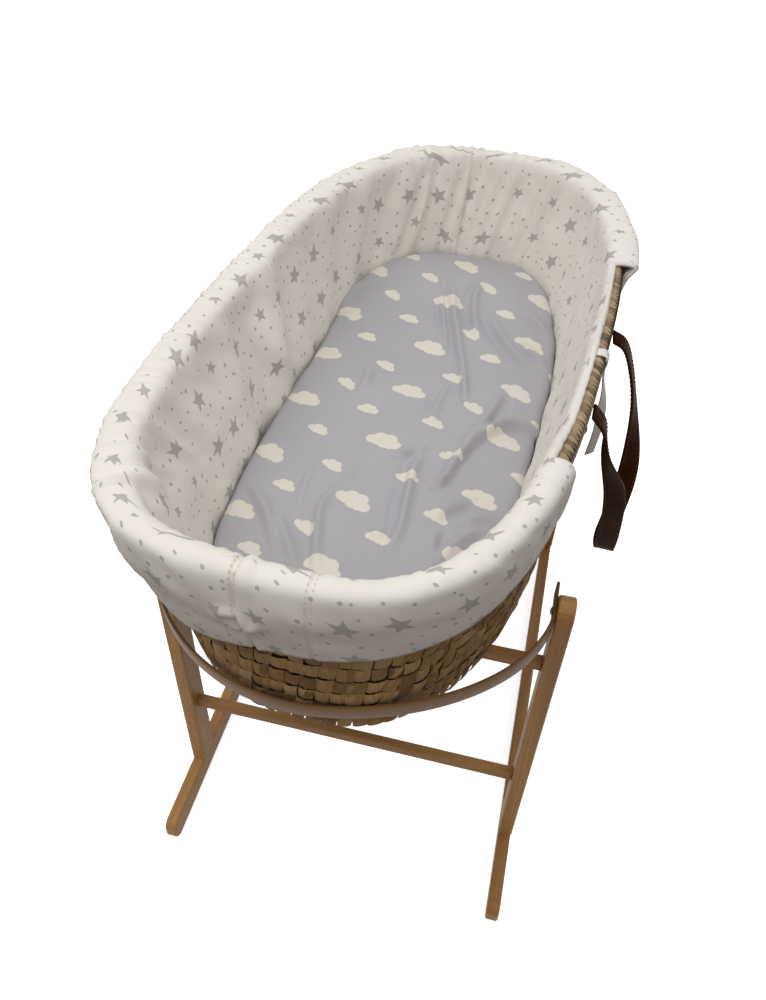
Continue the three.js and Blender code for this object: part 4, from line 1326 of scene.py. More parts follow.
@dataclass
class WrappedRim:
    """Rim of the basket: a padded channel over the wall, wound with slanting leaf."""

    copies: NodeTool
    arch: float = 0.0064
    pitch: float = 0.0068
    swell: float = 0.0010
    slant: float = 0.010
    stations: int = 320

    def section(self) -> list[Pair]:
        """Outline of the channel as (offset from the wall, height over its top).

        Returns:
            The points, outer lower edge first.
        """
        inside = -FORM.thick - FORM.rim_outside
        middle, reach = (FORM.rim_outside + inside) / 2, (FORM.rim_outside - inside) / 2
        points = [(FORM.rim_outside, -FORM.rim_drop)]
        for angle in np.linspace(0, math.pi, 9):
            lift = FORM.rim_rise - self.arch + self.arch * math.sin(angle)
            points.append((middle + reach * math.cos(angle), lift))
        across, low = -FORM.thick - PLAY, -FORM.rim_drop
        return points + [(inside, low), (across, low), (across, PLAY), (PLAY, PLAY), (PLAY, low)]

    def build(self) -> None:
        """Make the channel and its winding."""
        t = FORM.even_angles(self.stations)
        rings = [FORM.point(t, FORM.top(t) + lift, offset) for offset, lift in self.section()]
        rings.append(rings[0])
        rim = grid_object("wrapped_rim", FORM.placed(np.array(rings)), closed=True)
        weld(rim)
        # The channel shows between the turns of the winding, painted darker as shade.
        paint(rim, LEAF_IN_SHADE)
        line, facing = FORM.line(t, FORM.top(t) - FORM.rim_drop, FORM.rim_outside)
        path = path_object("rim_path", [line], [facing], closed=True)
        band = self.band()
        rim = self.copies.use(rim, Lines=path, Copy=band, Pitch=self.pitch, Tilt_Spread=0.03,
                              Seed=5, Finish=material_of(WRAP))
        discard(path, band)
        dress(rim, Body.BASKET, None, "binding", "basket_binding")

    def band(self) -> Any:
        """One turn of the winding over the channel, slanting along it.

        Returns:
            The turn, with X along the rim, Y up and Z outwards.
        """
        outline = self.section()[:11]
        across = ((-0.56, 0.0002), (-0.28, self.swell), (0.28, self.swell), (0.56, 0.0002))
        rows = []
        for k, (offset, lift) in enumerate(outline):
            slant = (k / (len(outline) - 1) - 0.5) * self.slant
            push = unit(np.array([offset + FORM.thick / 2, max(lift, 0.0)]))
            rows.append([(slant + w * self.pitch, lift + FORM.rim_drop + push[1] * s,
                          offset - FORM.rim_outside + push[0] * s) for w, s in across])
        uv = np.stack(np.meshgrid(np.linspace(0, self.pitch, 4), np.linspace(0, 0.06, len(outline))), axis=-1)
        return grid_object("rim_band", np.array(rows), uv)


# ---------------- liner


@dataclass(frozen=True)
class Crease:
    """A fold in cloth: a ridge with a shallow valley beside it, along a short line."""

    line: tuple
    height: float
    width: float
    valley: float = 0.6

    def raise_at(self, points: Array) -> Array:
        """Height that the fold adds at plane points.

        Args:
            points: (..., 2) points, in the line's own plane.

        Returns:
            Heights, in metres.
        """
        dense = spline(np.array([(*p, 0.0) for p in self.line], float), 48)[:, :2]
        flat = points.reshape(-1, 2)
        near = np.full(len(flat), 1e9)
        side, part = np.zeros((2, len(flat)))
        for k in range(len(dense) - 1):
            start, span = dense[k], dense[k + 1] - dense[k]
            place = np.clip(((flat - start) @ span) / max(span @ span, 1e-12), 0, 1)
            off = flat - start - place[:, None] * span
            away = np.hypot(off[:, 0], off[:, 1])
            better = away < near
            near[better] = away[better]
            side[better] = np.sign(span[0] * off[better, 1] - span[1] * off[better, 0])
            part[better] = (k + place[better]) / (len(dense) - 1)
        signed = near * side / self.width
        fade = np.sqrt(np.clip(np.sin(math.pi * np.clip(part, 0.02, 0.98)), 0, 1))
        profile = np.exp(-(signed - 0.5) ** 2) - self.valley * np.exp(-((signed + 1.1) / 0.9) ** 2)
        return (self.height * fade * profile).reshape(points.shape[:-1])


def rim_crease(height: float, width: float, *line: Pair, valley: float = 0.6) -> Crease:
    """A fold of the liner from millimetres, along (degrees round the rim, millimetres down)."""
    places = tuple((float(FORM.length_at(math.radians(t))), down * MM) for t, down in line)
    return Crease(places, height * MM, width * MM, valley)


LINER_CREASES = (  # height and width in millimetres, then places in degrees and millimetres down
    rim_crease(8.5, 10, (118, 12), (116, 60), (119, 120), (122, 165), valley=0.9),
    rim_crease(4.5, 12, (127, 12), (129, 60), (131, 110)),
    rim_crease(4.8, 12, (215, 0), (212, 45), (206, 100)),
    rim_crease(4.2, 9, (226, 0), (221, 40), (214, 90)),
    rim_crease(3.8, 9, (236, -10), (231, 30), (226, 80)),
    rim_crease(4.5, 16, (206, 8), (203, 55), (200, 120)),
    rim_crease(6.0, 18, (183, 10), (182, 70), (180, 150)),
    rim_crease(3.0, 9, (243, -12), (246, -45), (249, -70)),
)


@dataclass
class QuiltedLiner:
    """Padded cotton liner: a skirt outside, over the rim, and down to the edge of the mattress."""

    copies: NodeTool
    stations: int = 540
    thick: float = 0.007
    skirt_drop: float = 0.101
    skirt_short: float = 0.030  # drop of the skirt at the right side
    skirt_sag: float = 0.043  # how much lower it hangs beyond the second seam
    shortens: Pair = (-0.35, 0.8)
    puff: float = 0.001
    corner_puff: float = 0.008
    bulk: Pair = (0.013, 0.012)  # how much fuller the rim is along the left side and at the right of the head
    full_at: float = math.radians(225)
    gap: Pair = (-0.212, 0.165)  # Y of the two ends of each handle gap
    seams: tuple = (math.radians(96), math.radians(269.2))
    faint_seams: tuple = (math.radians(275.6),)
    bed_top: float = 0.4551
    base_top: float = 0.3873
    head_rise: float = 0.020
    bed_ease: float = 0.004
    deepest: float = -0.0036  # folds go no deeper than the padding
    left_shift: float = 1.3  # sets the left panel's print apart from the right one's
    parts: tuple = ((0, 3, 24), (3, 4, 3), (4, 6, 8), (6, 7, 3), (7, 11, 36))  # rows between two rings

    def angles(self) -> Array:
        """Angles of the stations: even, and close together at seams and cut edges.

        Returns:
            The angles, in order.
        """
        around = FORM.around()
        edges = [FORM.side_angle(side, y) for side in Side for y in self.gap]
        exact = [float(FORM.length_at(t)) for t in (*self.seams, *self.faint_seams, *edges)]
        kept = [s for s in np.linspace(0, around, self.stations, endpoint=False)
                if min(abs((s - e + around / 2) % around - around / 2) for e in exact) > 0.0075]
        steps = (-0.006, -0.004, -0.0025, -0.001, 0, 0.001, 0.0025, 0.004, 0.006)
        close = [(e + step) % around for e in exact for step in steps]
        return FORM.angles_at(np.array(sorted(kept + close)))

    def skirt(self, t: Array, part: float, puff: float) -> Array:
        """Ring of the skirt, part of the way down.

        Args:
            t: Angles round the oval.
            part: How far down, 0 to 1.
            puff: Share of the bulge there.

        Returns:
            (n, 3) points.
        """
        short = blend_step(np.cos(t), *self.shortens)
        beyond = np.where(t > self.seams[1], FORM.length_at(t) - FORM.length_at(self.seams[1]), 0.0)
        drop = self.skirt_drop + (self.skirt_short - self.skirt_drop) * short
        z = FORM.top(t) - part * (drop + self.skirt_sag * blend_step(beyond, 0.01, 0.24))
        bulge = self.puff + self.corner_puff * np.maximum(0, np.cos(t - self.full_at))
        return FORM.point(t, z, FORM.rim_outside + PLAY + self.thick + puff * bulge)

    def bed(self, t: Array, z: float, rise: float, full: float) -> Array:
        """Ring beside the mattress, higher towards the head and fuller where the sheet is.

        Args:
            t: Angles round the oval.
            z: Height at the foot.
            rise: How much higher it is at the head.
            full: Share of the fullness.

        Returns:
            (n, 3) points.
        """
        power = FORM.power(t, *FORM.bed_power)
        ring = oval_point(t, *FORM.bed_half, power, self.bed_ease, np.full_like(t, z))
        ring[..., 2] += rise * blend_step(ring[..., 1] / FORM.bed_half[1], 0.3, 1.0)
        ring = ring + full * (fuller(ring) - ring)
        return ring + np.array([0, FORM.bed_shift, 0])

    def rings(self, t: Array) -> Array:
        """Rings of the visible face, hem to lower edge.

        Args:
            t: Angles round the oval.

        Returns:
            (rings, n, 3) points.
        """
        inner = -FORM.thick - FORM.rim_outside - PLAY - self.thick
        outer = FORM.rim_outside + PLAY + self.thick
        crest = FORM.rim_rise + self.thick
        over = [(FORM.rim_rise, outer - 0.001), (crest - 0.002, outer - self.thick), (crest, -FORM.thick / 2),
                (crest - 0.002, inner + self.thick), (FORM.rim_rise, inner + 0.001), (-FORM.rim_drop, inner)]
        full = self.bulk[0] * blend_step(np.cos(t - math.radians(175)), 0.0, 0.7)
        full += self.bulk[1] * blend_step(np.cos(t - math.radians(38)), 0.55, 0.97)
        rim = [FORM.point(t, FORM.top(t) + lift, offset + full * (offset > 0)) for lift, offset in over]
        bed = self.bed(t, self.bed_top, self.head_rise, 1.0)
        edge = self.bed(t, self.base_top + 0.006, 0.0, 0.0)
        skirt = [self.skirt(t, part, puff) for part, puff in ((1, 0.1), (0.6, 0.3), (0.25, 0.9))]
        return np.array([*skirt, *rim, (rim[-1] + bed) / 2, bed, edge])

    def sampled(self, rings: Array) -> Array:
        """Rows spaced evenly between the rings, smoothed down the section.

        Args:
            rings: The control rings.

        Returns:
            (rows, n, 3) points.
        """
        rows = []
        for first, last, count in self.parts:
            chain = rings[first : last + 1]
            run = run_along(chain)
            rows += [self.between(chain, run, part) for part in np.arange(count) / count]
        rows.append(rings[-1])
        grid = np.array(rows)
        for _ in range(4):
            grid[1:-1] = (grid[:-2] + 2 * grid[1:-1] + grid[2:]) / 4
        return grid

    @staticmethod
    def between(chain: Array, run: Array, part: float) -> Array:
        """Points a share of the way along each column of a chain of rings.

        Args:
            chain: The rings.
            run: Length run up to each ring.
            part: The share, 0 to 1.

        Returns:
            (n, 3) points.
        """
        target = run[-1] * part
        row = chain[0].copy()
        for k in range(len(chain) - 1):
            span = run[k + 1] - run[k]
            share = ((target - run[k]) / span)[:, None]
            inside = (target >= run[k]) & (target <= run[k + 1])
            row[inside] = (chain[k] + (chain[k + 1] - chain[k]) * share)[inside]
        return row

    def row_at(self, ring: int) -> int:
        """Row that lies on a control ring."""
        return sum(count for first, _, count in self.parts if first < ring)

    def crest_row(self) -> int:
        """Row on the crest of the rim."""
        return self.row_at(4) + 4

    def build(self) -> None:
        """Make the liner, its edge tapes and its stitches."""
        t = self.angles()
        grid = self.sampled(self.rings(t))
        run = run_along(grid)
        outward = grid_normals(grid, self.crest_row())
        around = np.broadcast_to(FORM.length_at(t), run.shape)
        grid = grid + outward * self.folds(t, around, run - run[self.crest_row()])[..., None]
        made = self.shell(grid, t)
        dress(made, Body.BASKET, LINER_CLOTH, "quilt", "liner")
        self.bind(grid, outward)
        self.stitch(grid, t, outward)

    def folds(self, t: Array, around: Array, down: Array) -> Array:
        """Height of gathers, pleats, seams and folds over the smooth form.

        Args:
            t: Angles of the stations.
            around: Length along the rim of every point.
            down: Length from the crest, negative on the skirt.

        Returns:
            Heights, in metres.
        """
        at = np.degrees(t)[None, :]
        head_right = blend_step(at, 8, 40) * (1 - blend_step(at, 118, 150))
        left = blend_step(at, 105, 135) * (1 - blend_step(at, 235, 262))
        inside = blend_step(down, 0.004, 0.045) * (1 - 0.55 * blend_step(down, 0.10, 0.19))
        slant = around - 0.16 * np.maximum(down, 0)
        pleats = ripple(slant, (0.034, 0.051, 0.073, 0.024), 3)
        sharp = np.sign(pleats) * np.abs(pleats) ** 0.8
        height = 0.0023 * sharp * head_right * inside
        soft = ripple(around - 0.3 * np.maximum(down, 0), (0.085, 0.12, 0.19), 8)
        height += 0.0060 * soft * left * inside
        rim = np.exp(-((down - 0.002) / 0.022) ** 2)
        gathers = ripple(around + 0.1 * down, (0.0125, 0.0165, 0.021), 11)
        along_left = blend_step(at, 60, 100) * (1 - blend_step(at, 230, 255))
        height += 0.0021 * gathers * rim * (0.35 + 0.65 * along_left)
        plump = soft_noise(np.stack([around, down], axis=-1), 0.055, 5)
        height += 0.0022 * plump * (1 - 0.4 * rim)
        crumple = soft_noise(np.stack([around * 1.0 + down, down * 0.8 - around * 0.2], axis=-1), 0.019, 15)
        height += 0.0010 * crumple
        hem = np.exp(-((down - down[:1]) / 0.016) ** 2)
        height = height * (1 - 0.75 * hem) - 0.0016 * hem * (down < 0)
        for seam in self.seams:
            height += self.seam(around, float(FORM.length_at(seam)), 0.0030)
        for seam in self.faint_seams:
            height += self.seam(around, float(FORM.length_at(seam)), 0.0011)
        least = self.deepest * blend_step(np.abs(down), 0.03, 0.06) - 0.0012
        return np.maximum(height + self.special(around, down), least)

    @staticmethod
    def seam(around: Array, place: float, depth: float) -> Array:
        """A stitched seam: a narrow valley with one side rolled over it."""
        away = around - place
        return 0.5 * depth * np.exp(-((away - 0.006) / 0.005) ** 2) - depth * np.exp(-(away / 0.0022) ** 2)

    def special(self, around: Array, down: Array) -> Array:
        """Single folds: pulls at the foot-left corner, a pinch at the head-left and a knotted tie.

        Args:
            around: Length along the rim of every point.
            down: Length from the crest, negative on the skirt.

        Returns:
            Heights, in metres.
        """
        place = np.stack([around, down], axis=-1)
        height = sum(fold.raise_at(place) for fold in LINER_CREASES)
        knot, low = float(FORM.length_at(self.seams[1])) - 0.006, 0.062
        away = np.hypot(around - knot, (down + low) * 1.1)
        ring = 0.0048 * np.exp(-((away - 0.013) / 0.005) ** 2) - 0.0014 * np.exp(-(away / 0.006) ** 2)
        knob = 0.0052 * np.exp(-(np.hypot(around - knot - 0.020, down + low) / 0.0055) ** 2)
        return height + ring + knob

    def cut_rows(self, grid: Array) -> Array:
        """First kept row at each station: 0, or the rim's edge inside the handle gaps."""
        x, y, _ = grid[self.crest_row()].T
        inside = (y > self.gap[0] - 1e-4) & (y < self.gap[1] + 1e-4)
        return np.where(inside, np.where(x > 0, self.row_at(6), self.row_at(4)), 0)

    def shell(self, grid: Array, t: Array) -> Any:
        """Cut the handle gaps out of the sheet, map it and give it its padding, thinner at every edge.

        Args:
            grid: Points of the visible face.
            t: Angles of the stations.

        Returns:
            The liner.
        """
        rows, columns = grid.shape[:2]
        index = np.arange(rows * columns).reshape(rows, columns)
        ahead = np.roll(index, -1, axis=1)
        faces = corners(index, ahead)
        cut = self.cut_rows(grid)
        after = np.roll(cut, -1)
        first = np.where((cut > 0) & (after > 0), np.maximum(cut, after), 0)
        kept = np.arange(rows - 1)[:, None] >= first[None, :]
        mesh = bpy.data.meshes.new("quilted_liner")
        mesh.from_pydata(FORM.placed(grid).reshape(-1, 3).tolist(), [], faces[kept].tolist())
        layer = mesh.uv_layers.new(name="UVMap")
        layer.data.foreach_set("uv", self.map(grid, t)[kept].astype(np.float32).ravel())
        mesh.shade_smooth()
        made = make_object("quilted_liner", mesh)
        with editing(made) as work:
            bmesh.ops.delete(work, geom=[v for v in work.verts if not v.link_faces], context="VERTS")
            face_up(work)
            work.verts.index_update()
            edge = {v.index for v in work.verts if v.is_boundary}
            ring = {o.index for v in work.verts if v.is_boundary for e in v.link_edges for o in e.verts}
        group = made.vertex_groups.new(name="padding")
        for points, share in ((range(len(made.data.vertices)), 1.0), (ring, 0.75), (edge, 0.42)):
            group.add(list(points), share, "REPLACE")
        return thicken(made, "padding", self.thick)

    def map(self, grid: Array, t: Array) -> Array:
        """Cloth map in metres: each panel runs from its own middle to the seams.

        Args:
            grid: (rows, columns, 3) points.
            t: Angles of the stations.

        Returns:
            (rows - 1, columns, 4, 2) corners.
        """
        steps = np.linalg.norm(np.roll(grid, -1, axis=1) - grid, axis=-1)
        run = np.concatenate([np.zeros((grid.shape[0], 1)), np.cumsum(steps, axis=1)], axis=1)
        middle = int(np.argmin(np.abs(t - math.pi)))
        left = run[:, :-1] - run[:, middle : middle + 1] + self.left_shift
        right = np.where(t < math.pi, run[:, :-1], run[:, :-1] - run[:, -1:])
        start = np.where((t >= self.seams[0]) & (t < self.seams[1]), left, right)
        down = run_along(grid)
        down = down - down[self.crest_row()]
        near = np.stack([start, down], axis=-1)
        far = np.stack([start + steps, np.roll(down, -1, axis=1)], axis=-1)
        return corners(near, far)

    def bind(self, grid: Array, outward: Array) -> None:
        """Bind the cut edges with a narrow tape.

        Args:
            grid: (rows, columns, 3) points.
            outward: Normals of the face.
        """
        section = rounded_section(0.0076, 0.0050, 0.0024)
        for side in Side:
            path, facing = (by_length(line, 260) for line in self.gap_edge(grid, outward, side))
            across = np.cross(unit(np.gradient(path, axis=0)), unit(facing))
            tape = sweep(f"gap_tape_{side.name.lower()}", FORM.placed(path), FORM.placed(across), section)
            dress(tape, Body.BASKET, TRIM_CLOTH, "quilt", "liner")

    def stitch(self, grid: Array, t: Array, outward: Array) -> None:
        """Stitch on both sides of every seam.

        Args:
            grid: Points of the visible face.
            t: Angles of the stations.
            outward: Normals of the face.
        """
        rows = slice(2, -3)
        lines, facing = [], []
        for seam in (*self.seams, *self.faint_seams):
            column = int(np.argmin(np.abs(t - seam)))
            for shift in (-2, 2):
                line = grid[rows, (column + shift) % len(t)] + 0.0001 * outward[rows, column]
                lines.append(FORM.placed(line))
                facing.append(FORM.placed(outward[rows, column]))
        path = path_object("liner_seam_lines", lines, facing)
        blank = make_object("liner_seam_stitches", bpy.data.meshes.new("liner_seam_stitches"))
        stitch = Stitch(length=0.0030, radius=0.00034).build("liner_stitch")
        made = self.copies.use(blank, Lines=path, Copy=stitch, Pitch=0.0052, Tilt_Spread=0.05,
                               Size_Spread=0.06, Seed=2, Finish=material_of(THREAD))
        discard(path, stitch)
        dress(made, Body.BASKET, None, "quilt")

    def gap_edge(self, grid: Array, outward: Array, side: Side) -> tuple[Array, Array]:
        """Cut edge of one handle gap: up the skirt, along the rim and down the skirt.

        Args:
            grid: Points of the visible face.
            outward: Their normals.
            side: Which gap.

        Returns:
            The edge's points and the way they face.
        """
        cut = self.cut_rows(grid)
        crest = grid[self.crest_row()]
        chosen = np.where((cut > 0) & (np.sign(crest[:, 0]) == side.value))[0]
        order = chosen[np.argsort(crest[chosen, 1])]
        row = cut[order[0]]
        rows = np.concatenate([np.arange(1, row), np.full(len(order), row), np.arange(row - 1, 0, -1)])
        columns = np.concatenate([np.full(row - 1, order[0]), order, np.full(row - 1, order[-1])])
        facing = outward[rows, columns]
        return grid[rows, columns] - self.thick * 0.45 * facing, facing


@dataclass
class NeckTape:
    """Cotton tape of the liner that hangs over the rim in the right-hand gap."""

    y: float = -0.022
    width: float = 0.013
    thick: float = 0.0016
    drop: float = 0.130

    def build(self) -> None:
        """Make the tape."""
        t = FORM.side_angle(Side.RIGHT, self.y)
        lifted, outside = (room + PLAY + self.thick / 2 for room in (FORM.rim_rise, FORM.rim_outside))
        stations = [(-0.007, lifted), (-0.004, lifted), (outside - 0.004, lifted), (outside + 0.0004, 0.005),
                    (outside + 0.0006, -0.013), (outside + 0.009, -self.drop * 0.4),
                    (outside + 0.014, -self.drop * 0.7), (outside + 0.014, -self.drop)]
        angle = np.array([t])
        points = np.vstack([FORM.point(angle, FORM.top(angle) + lift, out) for out, lift in stations])
        path = spline(points, 48)
        turn = 0.75 * blend_step(np.linspace(0, 1, 48), 0.3, 0.6)
        across = np.stack([np.sin(turn), np.cos(turn), 0 * turn], axis=-1)
        made = sweep("neck_tape", FORM.placed(path), FORM.placed(unit(across)),
                     rounded_section(self.width, self.thick, 0.0006))
        dress(made, Body.BASKET, TRIM_CLOTH, "quilt", "liner_tie")


# ---------------- mattress


@dataclass
class Mattress:
    """Foam mattress in its own cover under a fitted sheet that is a little too large for it."""

    bottom: float = 0.3891
    thick: float = 0.066
    edge: float = 0.009
    crown: float = 0.006
    head_rise: float = 0.014
    rise_from: float = 0.3
    loose: float = 0.0  # share of the fuller outline that it takes
    corner_rise: float = 0.009
    cloth: float = 0.0012
    tuck: float = 0.026
    spare: float = 0.03  # ease of the sheet's flat size
    top_rings: int = 62
    stations: int = 480

    def outline(self, inset: float, z: float, t: Array) -> Array:
        """Outline pulled in by an inset, at a height, raised towards the head.

        Args:
            inset: How far in.
            z: Height at the foot.
            t: Angles round the oval.

        Returns:
            (n, 3) points.
        """
        half = FORM.bed_half
        power = FORM.power(t, *FORM.bed_power)
        ring = oval_point(t, half[0] - inset, half[1] - inset, power, 0.0, np.full_like(t, z))
        share = np.clip((z - self.bottom) / self.thick, 0, 1)
        rise = self.head_rise * blend_step(ring[:, 1] / half[1], self.rise_from, 1.0)
        corner = blend_step(-ring[:, 0] / half[0], 0.0, 0.9)
        corner = corner * blend_step(ring[:, 1] / half[1], 0.35, 0.8)
        ring[:, 2] += share * (rise + self.corner_rise * corner)
        soft = blend_step(share, 0.1, 0.8)
        ring += soft * self.loose * (fuller(ring) - ring)
        ring[:, 1] += FORM.bed_shift
        return ring

    def angles(self, count: int) -> Array:
        """Angles spaced evenly round each half of the outline, so that left mirrors right.

        Args:
            count: How many, an even number.

        Returns:
            The angles.
        """
        halves = []
        for start in (0, math.pi):
            fine = np.linspace(start, start + math.pi, 4001)
            run = run_along(self.outline(0.0, self.bottom, fine))
            halves.append(np.interp(np.linspace(0, run[-1], count // 2, endpoint=False), run, fine))
        return np.concatenate(halves)

    def surface(self, grow: float, t: Array) -> Array:
        """Rings of the side and the top, bottom edge first, grown outwards.

        Args:
            grow: How far outside the pad.
            t: Angles round the oval.

        Returns:
            (rings, n, 3) points.
        """
        top = self.bottom + self.thick
        shoulder = top - self.crown
        points = []
        for angle in np.linspace(0.25, 1, 4) * math.pi / 2:
            points.append((self.edge - (self.edge + grow) * math.sin(angle),
                           self.bottom + self.edge - self.edge * math.cos(angle)))
        points += [(-grow, z) for z in np.linspace(self.bottom + self.edge, shoulder - self.edge, 12)[1:-1]]
        for angle in np.linspace(0, 1, 7) * math.pi / 2:
            points.append((self.edge - (self.edge + grow) * math.cos(angle),
                           shoulder - self.edge + (self.edge + grow) * math.sin(angle)))
        for inset in (*np.linspace(self.edge, 0.149, self.top_rings)[1:], FORM.bed_half[0] - 1e-6):
            fall = float(np.interp(inset, (self.edge, 0.045, 0.113), (1.0, 0.35, 0.0)))
            points.append((inset, top - self.crown * fall + grow))
        return np.array([self.outline(inset, z, t) for inset, z in points])

    def build(self) -> None:
        """Make the pad, then the sheet over it."""
        self.pad()
        replace(self, head_rise=0.021, loose=1.0).sheet()

    def pad(self) -> None:
        """Foam in its cover, a soft block with slightly hollow sides."""
        t = self.angles(200)
        grid = self.surface(-0.0006, t)
        low = np.array([self.outline(inset, self.bottom, t) for inset in (0.1505, 0.09, 0.03, self.edge)])
        made = grid_object("foam_pad", FORM.placed(np.concatenate([low, grid])), closed=True)
        close_ends(made)
        dress(made, Body.MATTRESS, PAD_CLOTH, "foam", "mattress")

    def sheet(self) -> None:
        """Fitted sheet with its folds, tucked under and open below."""
        t = self.angles(self.stations)
        grid = self.surface(PLAY + self.cloth, t)
        under = np.array([self.outline(inset, self.bottom - 0.0008, t)
                          for inset in np.linspace(self.edge + self.tuck, self.edge, 8)])
        uv = self.map(np.concatenate([under, grid]))
        grid = np.concatenate([under, self.folded(grid)])
        grid[-1, :, 2] = (grid[-1, :, 2] + grid[-1, self.mirror(t), 2]) / 2
        grid[-1, :, 0] = 0.0
        made = grid_object("cloud_sheet", FORM.placed(grid), uv, closed=True)
        weld(made, 2e-5)
        with editing(made) as work:
            face_up(work)
        dress(thicken(made, "cloth", 0.0009), Body.MATTRESS, SHEET_CLOTH, "cotton", "fitted_sheet")

    @staticmethod
    def mirror(t: Array) -> Array:
        """Index of each station's mirror image across the long axis."""
        half = len(t) // 2
        index = np.arange(len(t))
        return np.where(index <= half, half - index, 3 * half - index) % len(t)

    def map(self, grid: Array) -> Array:
        """Cloth map in metres: the top seen from above, its sides carried on outwards.

        Args:
            grid: (rows, columns, 3) points.

        Returns:
            (rows - 1, columns, 4, 2) corners.
        """
        steps = np.linalg.norm(np.diff(grid, axis=0), axis=-1)
        top = grid.shape[0] - self.top_rings - 2
        down = np.cumsum(steps[:top][::-1], axis=0)[::-1]
        rim = grid[top]
        outward = unit(rim[:, :2] * np.array([1.0, 0.35]))
        flat = grid[..., :2].copy()
        flat[:top] = rim[None, :, :2] + outward[None] * down[..., None]
        return corners(flat, np.roll(flat, -1, axis=1))

    def folded(self, grid: Array) -> Array:
        """Raise the folds of the loose cloth over the smooth form.

        Args:
            grid: (rows, columns, 3) points.

        Returns:
            The moved points.
        """
        normals = grid_normals(grid, -20)
        level = blend_step(normals[..., 2], 0.7, 0.95)[..., None]
        normals = unit(normals * (1 - level) + np.array([0.0, 0.0, 1.0]) * level)
        place = grid[..., :2]
        height = 1.9 * sum(crease.raise_at(place) for crease in SHEET_CREASES)
        height += 0.0022 * soft_noise(place, 0.085, 31) + 0.0011 * soft_noise(place, 0.034, 32)
        side = 1 - blend_step(grid[..., 2], self.bottom + 0.030, self.bottom + 0.052)
        height = height * (1 - side) + side * 0.0012 * ripple(
            np.arctan2(place[..., 1], place[..., 0]) * 0.26, (0.021, 0.033), 41)
        height = np.maximum(height + 0.0022, 0.0002)
        height[:6] *= np.linspace(0, 1, 6)[:, None]
        return grid + normals * height[..., None]


def crease(height: float, width: float, *line: Pair, valley: float = 0.6) -> Crease:
    """A fold of the sheet from millimetres."""
    return Crease(tuple((x * MM, y * MM) for x, y in line), height * MM, 0.85 * width * MM, valley)


SHEET_CREASES = (  # height and width, then places across and along, in millimetres
    crease(4.2, 7, (-22, 288), (-1, 218), (22, 154), (42, 95), (56, 44)),
    crease(2.8, 6, (-27, 256), (-6, 193), (9, 150)),
    crease(4.0, 7, (26, 305), (19, 266), (25, 227), (42, 177)),
    crease(3.6, 8, (49, 224), (76, 179), (104, 152), (129, 140)),
    crease(3.0, 7, (86, 248), (112, 235), (131, 209)),
    crease(3.0, 7, (93, 179), (118, 167), (139, 144)),
    crease(4.2, 8, (-134, -173), (-106, -203), (-83, -233), (-61, -268)),
    crease(3.4, 7, (-84, -211), (-64, -241), (-45, -269)),
    crease(2.2, 6, (-77, -129), (-75, -157), (-70, -183)),
    crease(4.0, 7, (-39, -149), (-46, -183), (-37, -224), (-20, -274)),
    crease(1.8, 6, (-31, -117), (-35, -143)),
    crease(4.6, 7, (33, -64), (31, -97), (35, -131), (39, -164), (42, -191), (41, -223)),
    crease(9.0, 9, (73, -103), (80, -67), (92, -27), (110, 3), (129, 17), (151, 19), valley=0.9),
    crease(4.0, 7, (64, -116), (73, -105), (80, -86)),
    crease(4.4, 8, (64, -53), (77, -36), (85, -16), (96, 22), (102, 76)),
    crease(3.6, 8, (12, -82), (31, -68)),
    crease(3.4, 8, (74, -169), (88, -148), (106, -126)),
    crease(3.2, 7, (107, -163), (122, -150), (138, -144)),
    crease(3.8, 8, (93, -228), (100, -213), (112, -186), (129, -161)),
    crease(2.8, 7, (89, -221), (85, -197), (85, -182)),
    crease(2.4, 6, (41, 98), (49, 69), (56, 45)),
    crease(2.4, 6, (29, 74), (28, 39), (27, -8)),
    crease(1.8, 7, (-69, 67), (-67, 25)),
    crease(3.0, 9, (-153, 193), (-139, 234), (-106, 252)),
    crease(2.6, 8, (-146, 155), (-130, 178)),
    crease(1.8, 8, (-75, 84), (-72, 32), (-73, 8)),
)


# ---------------- handles


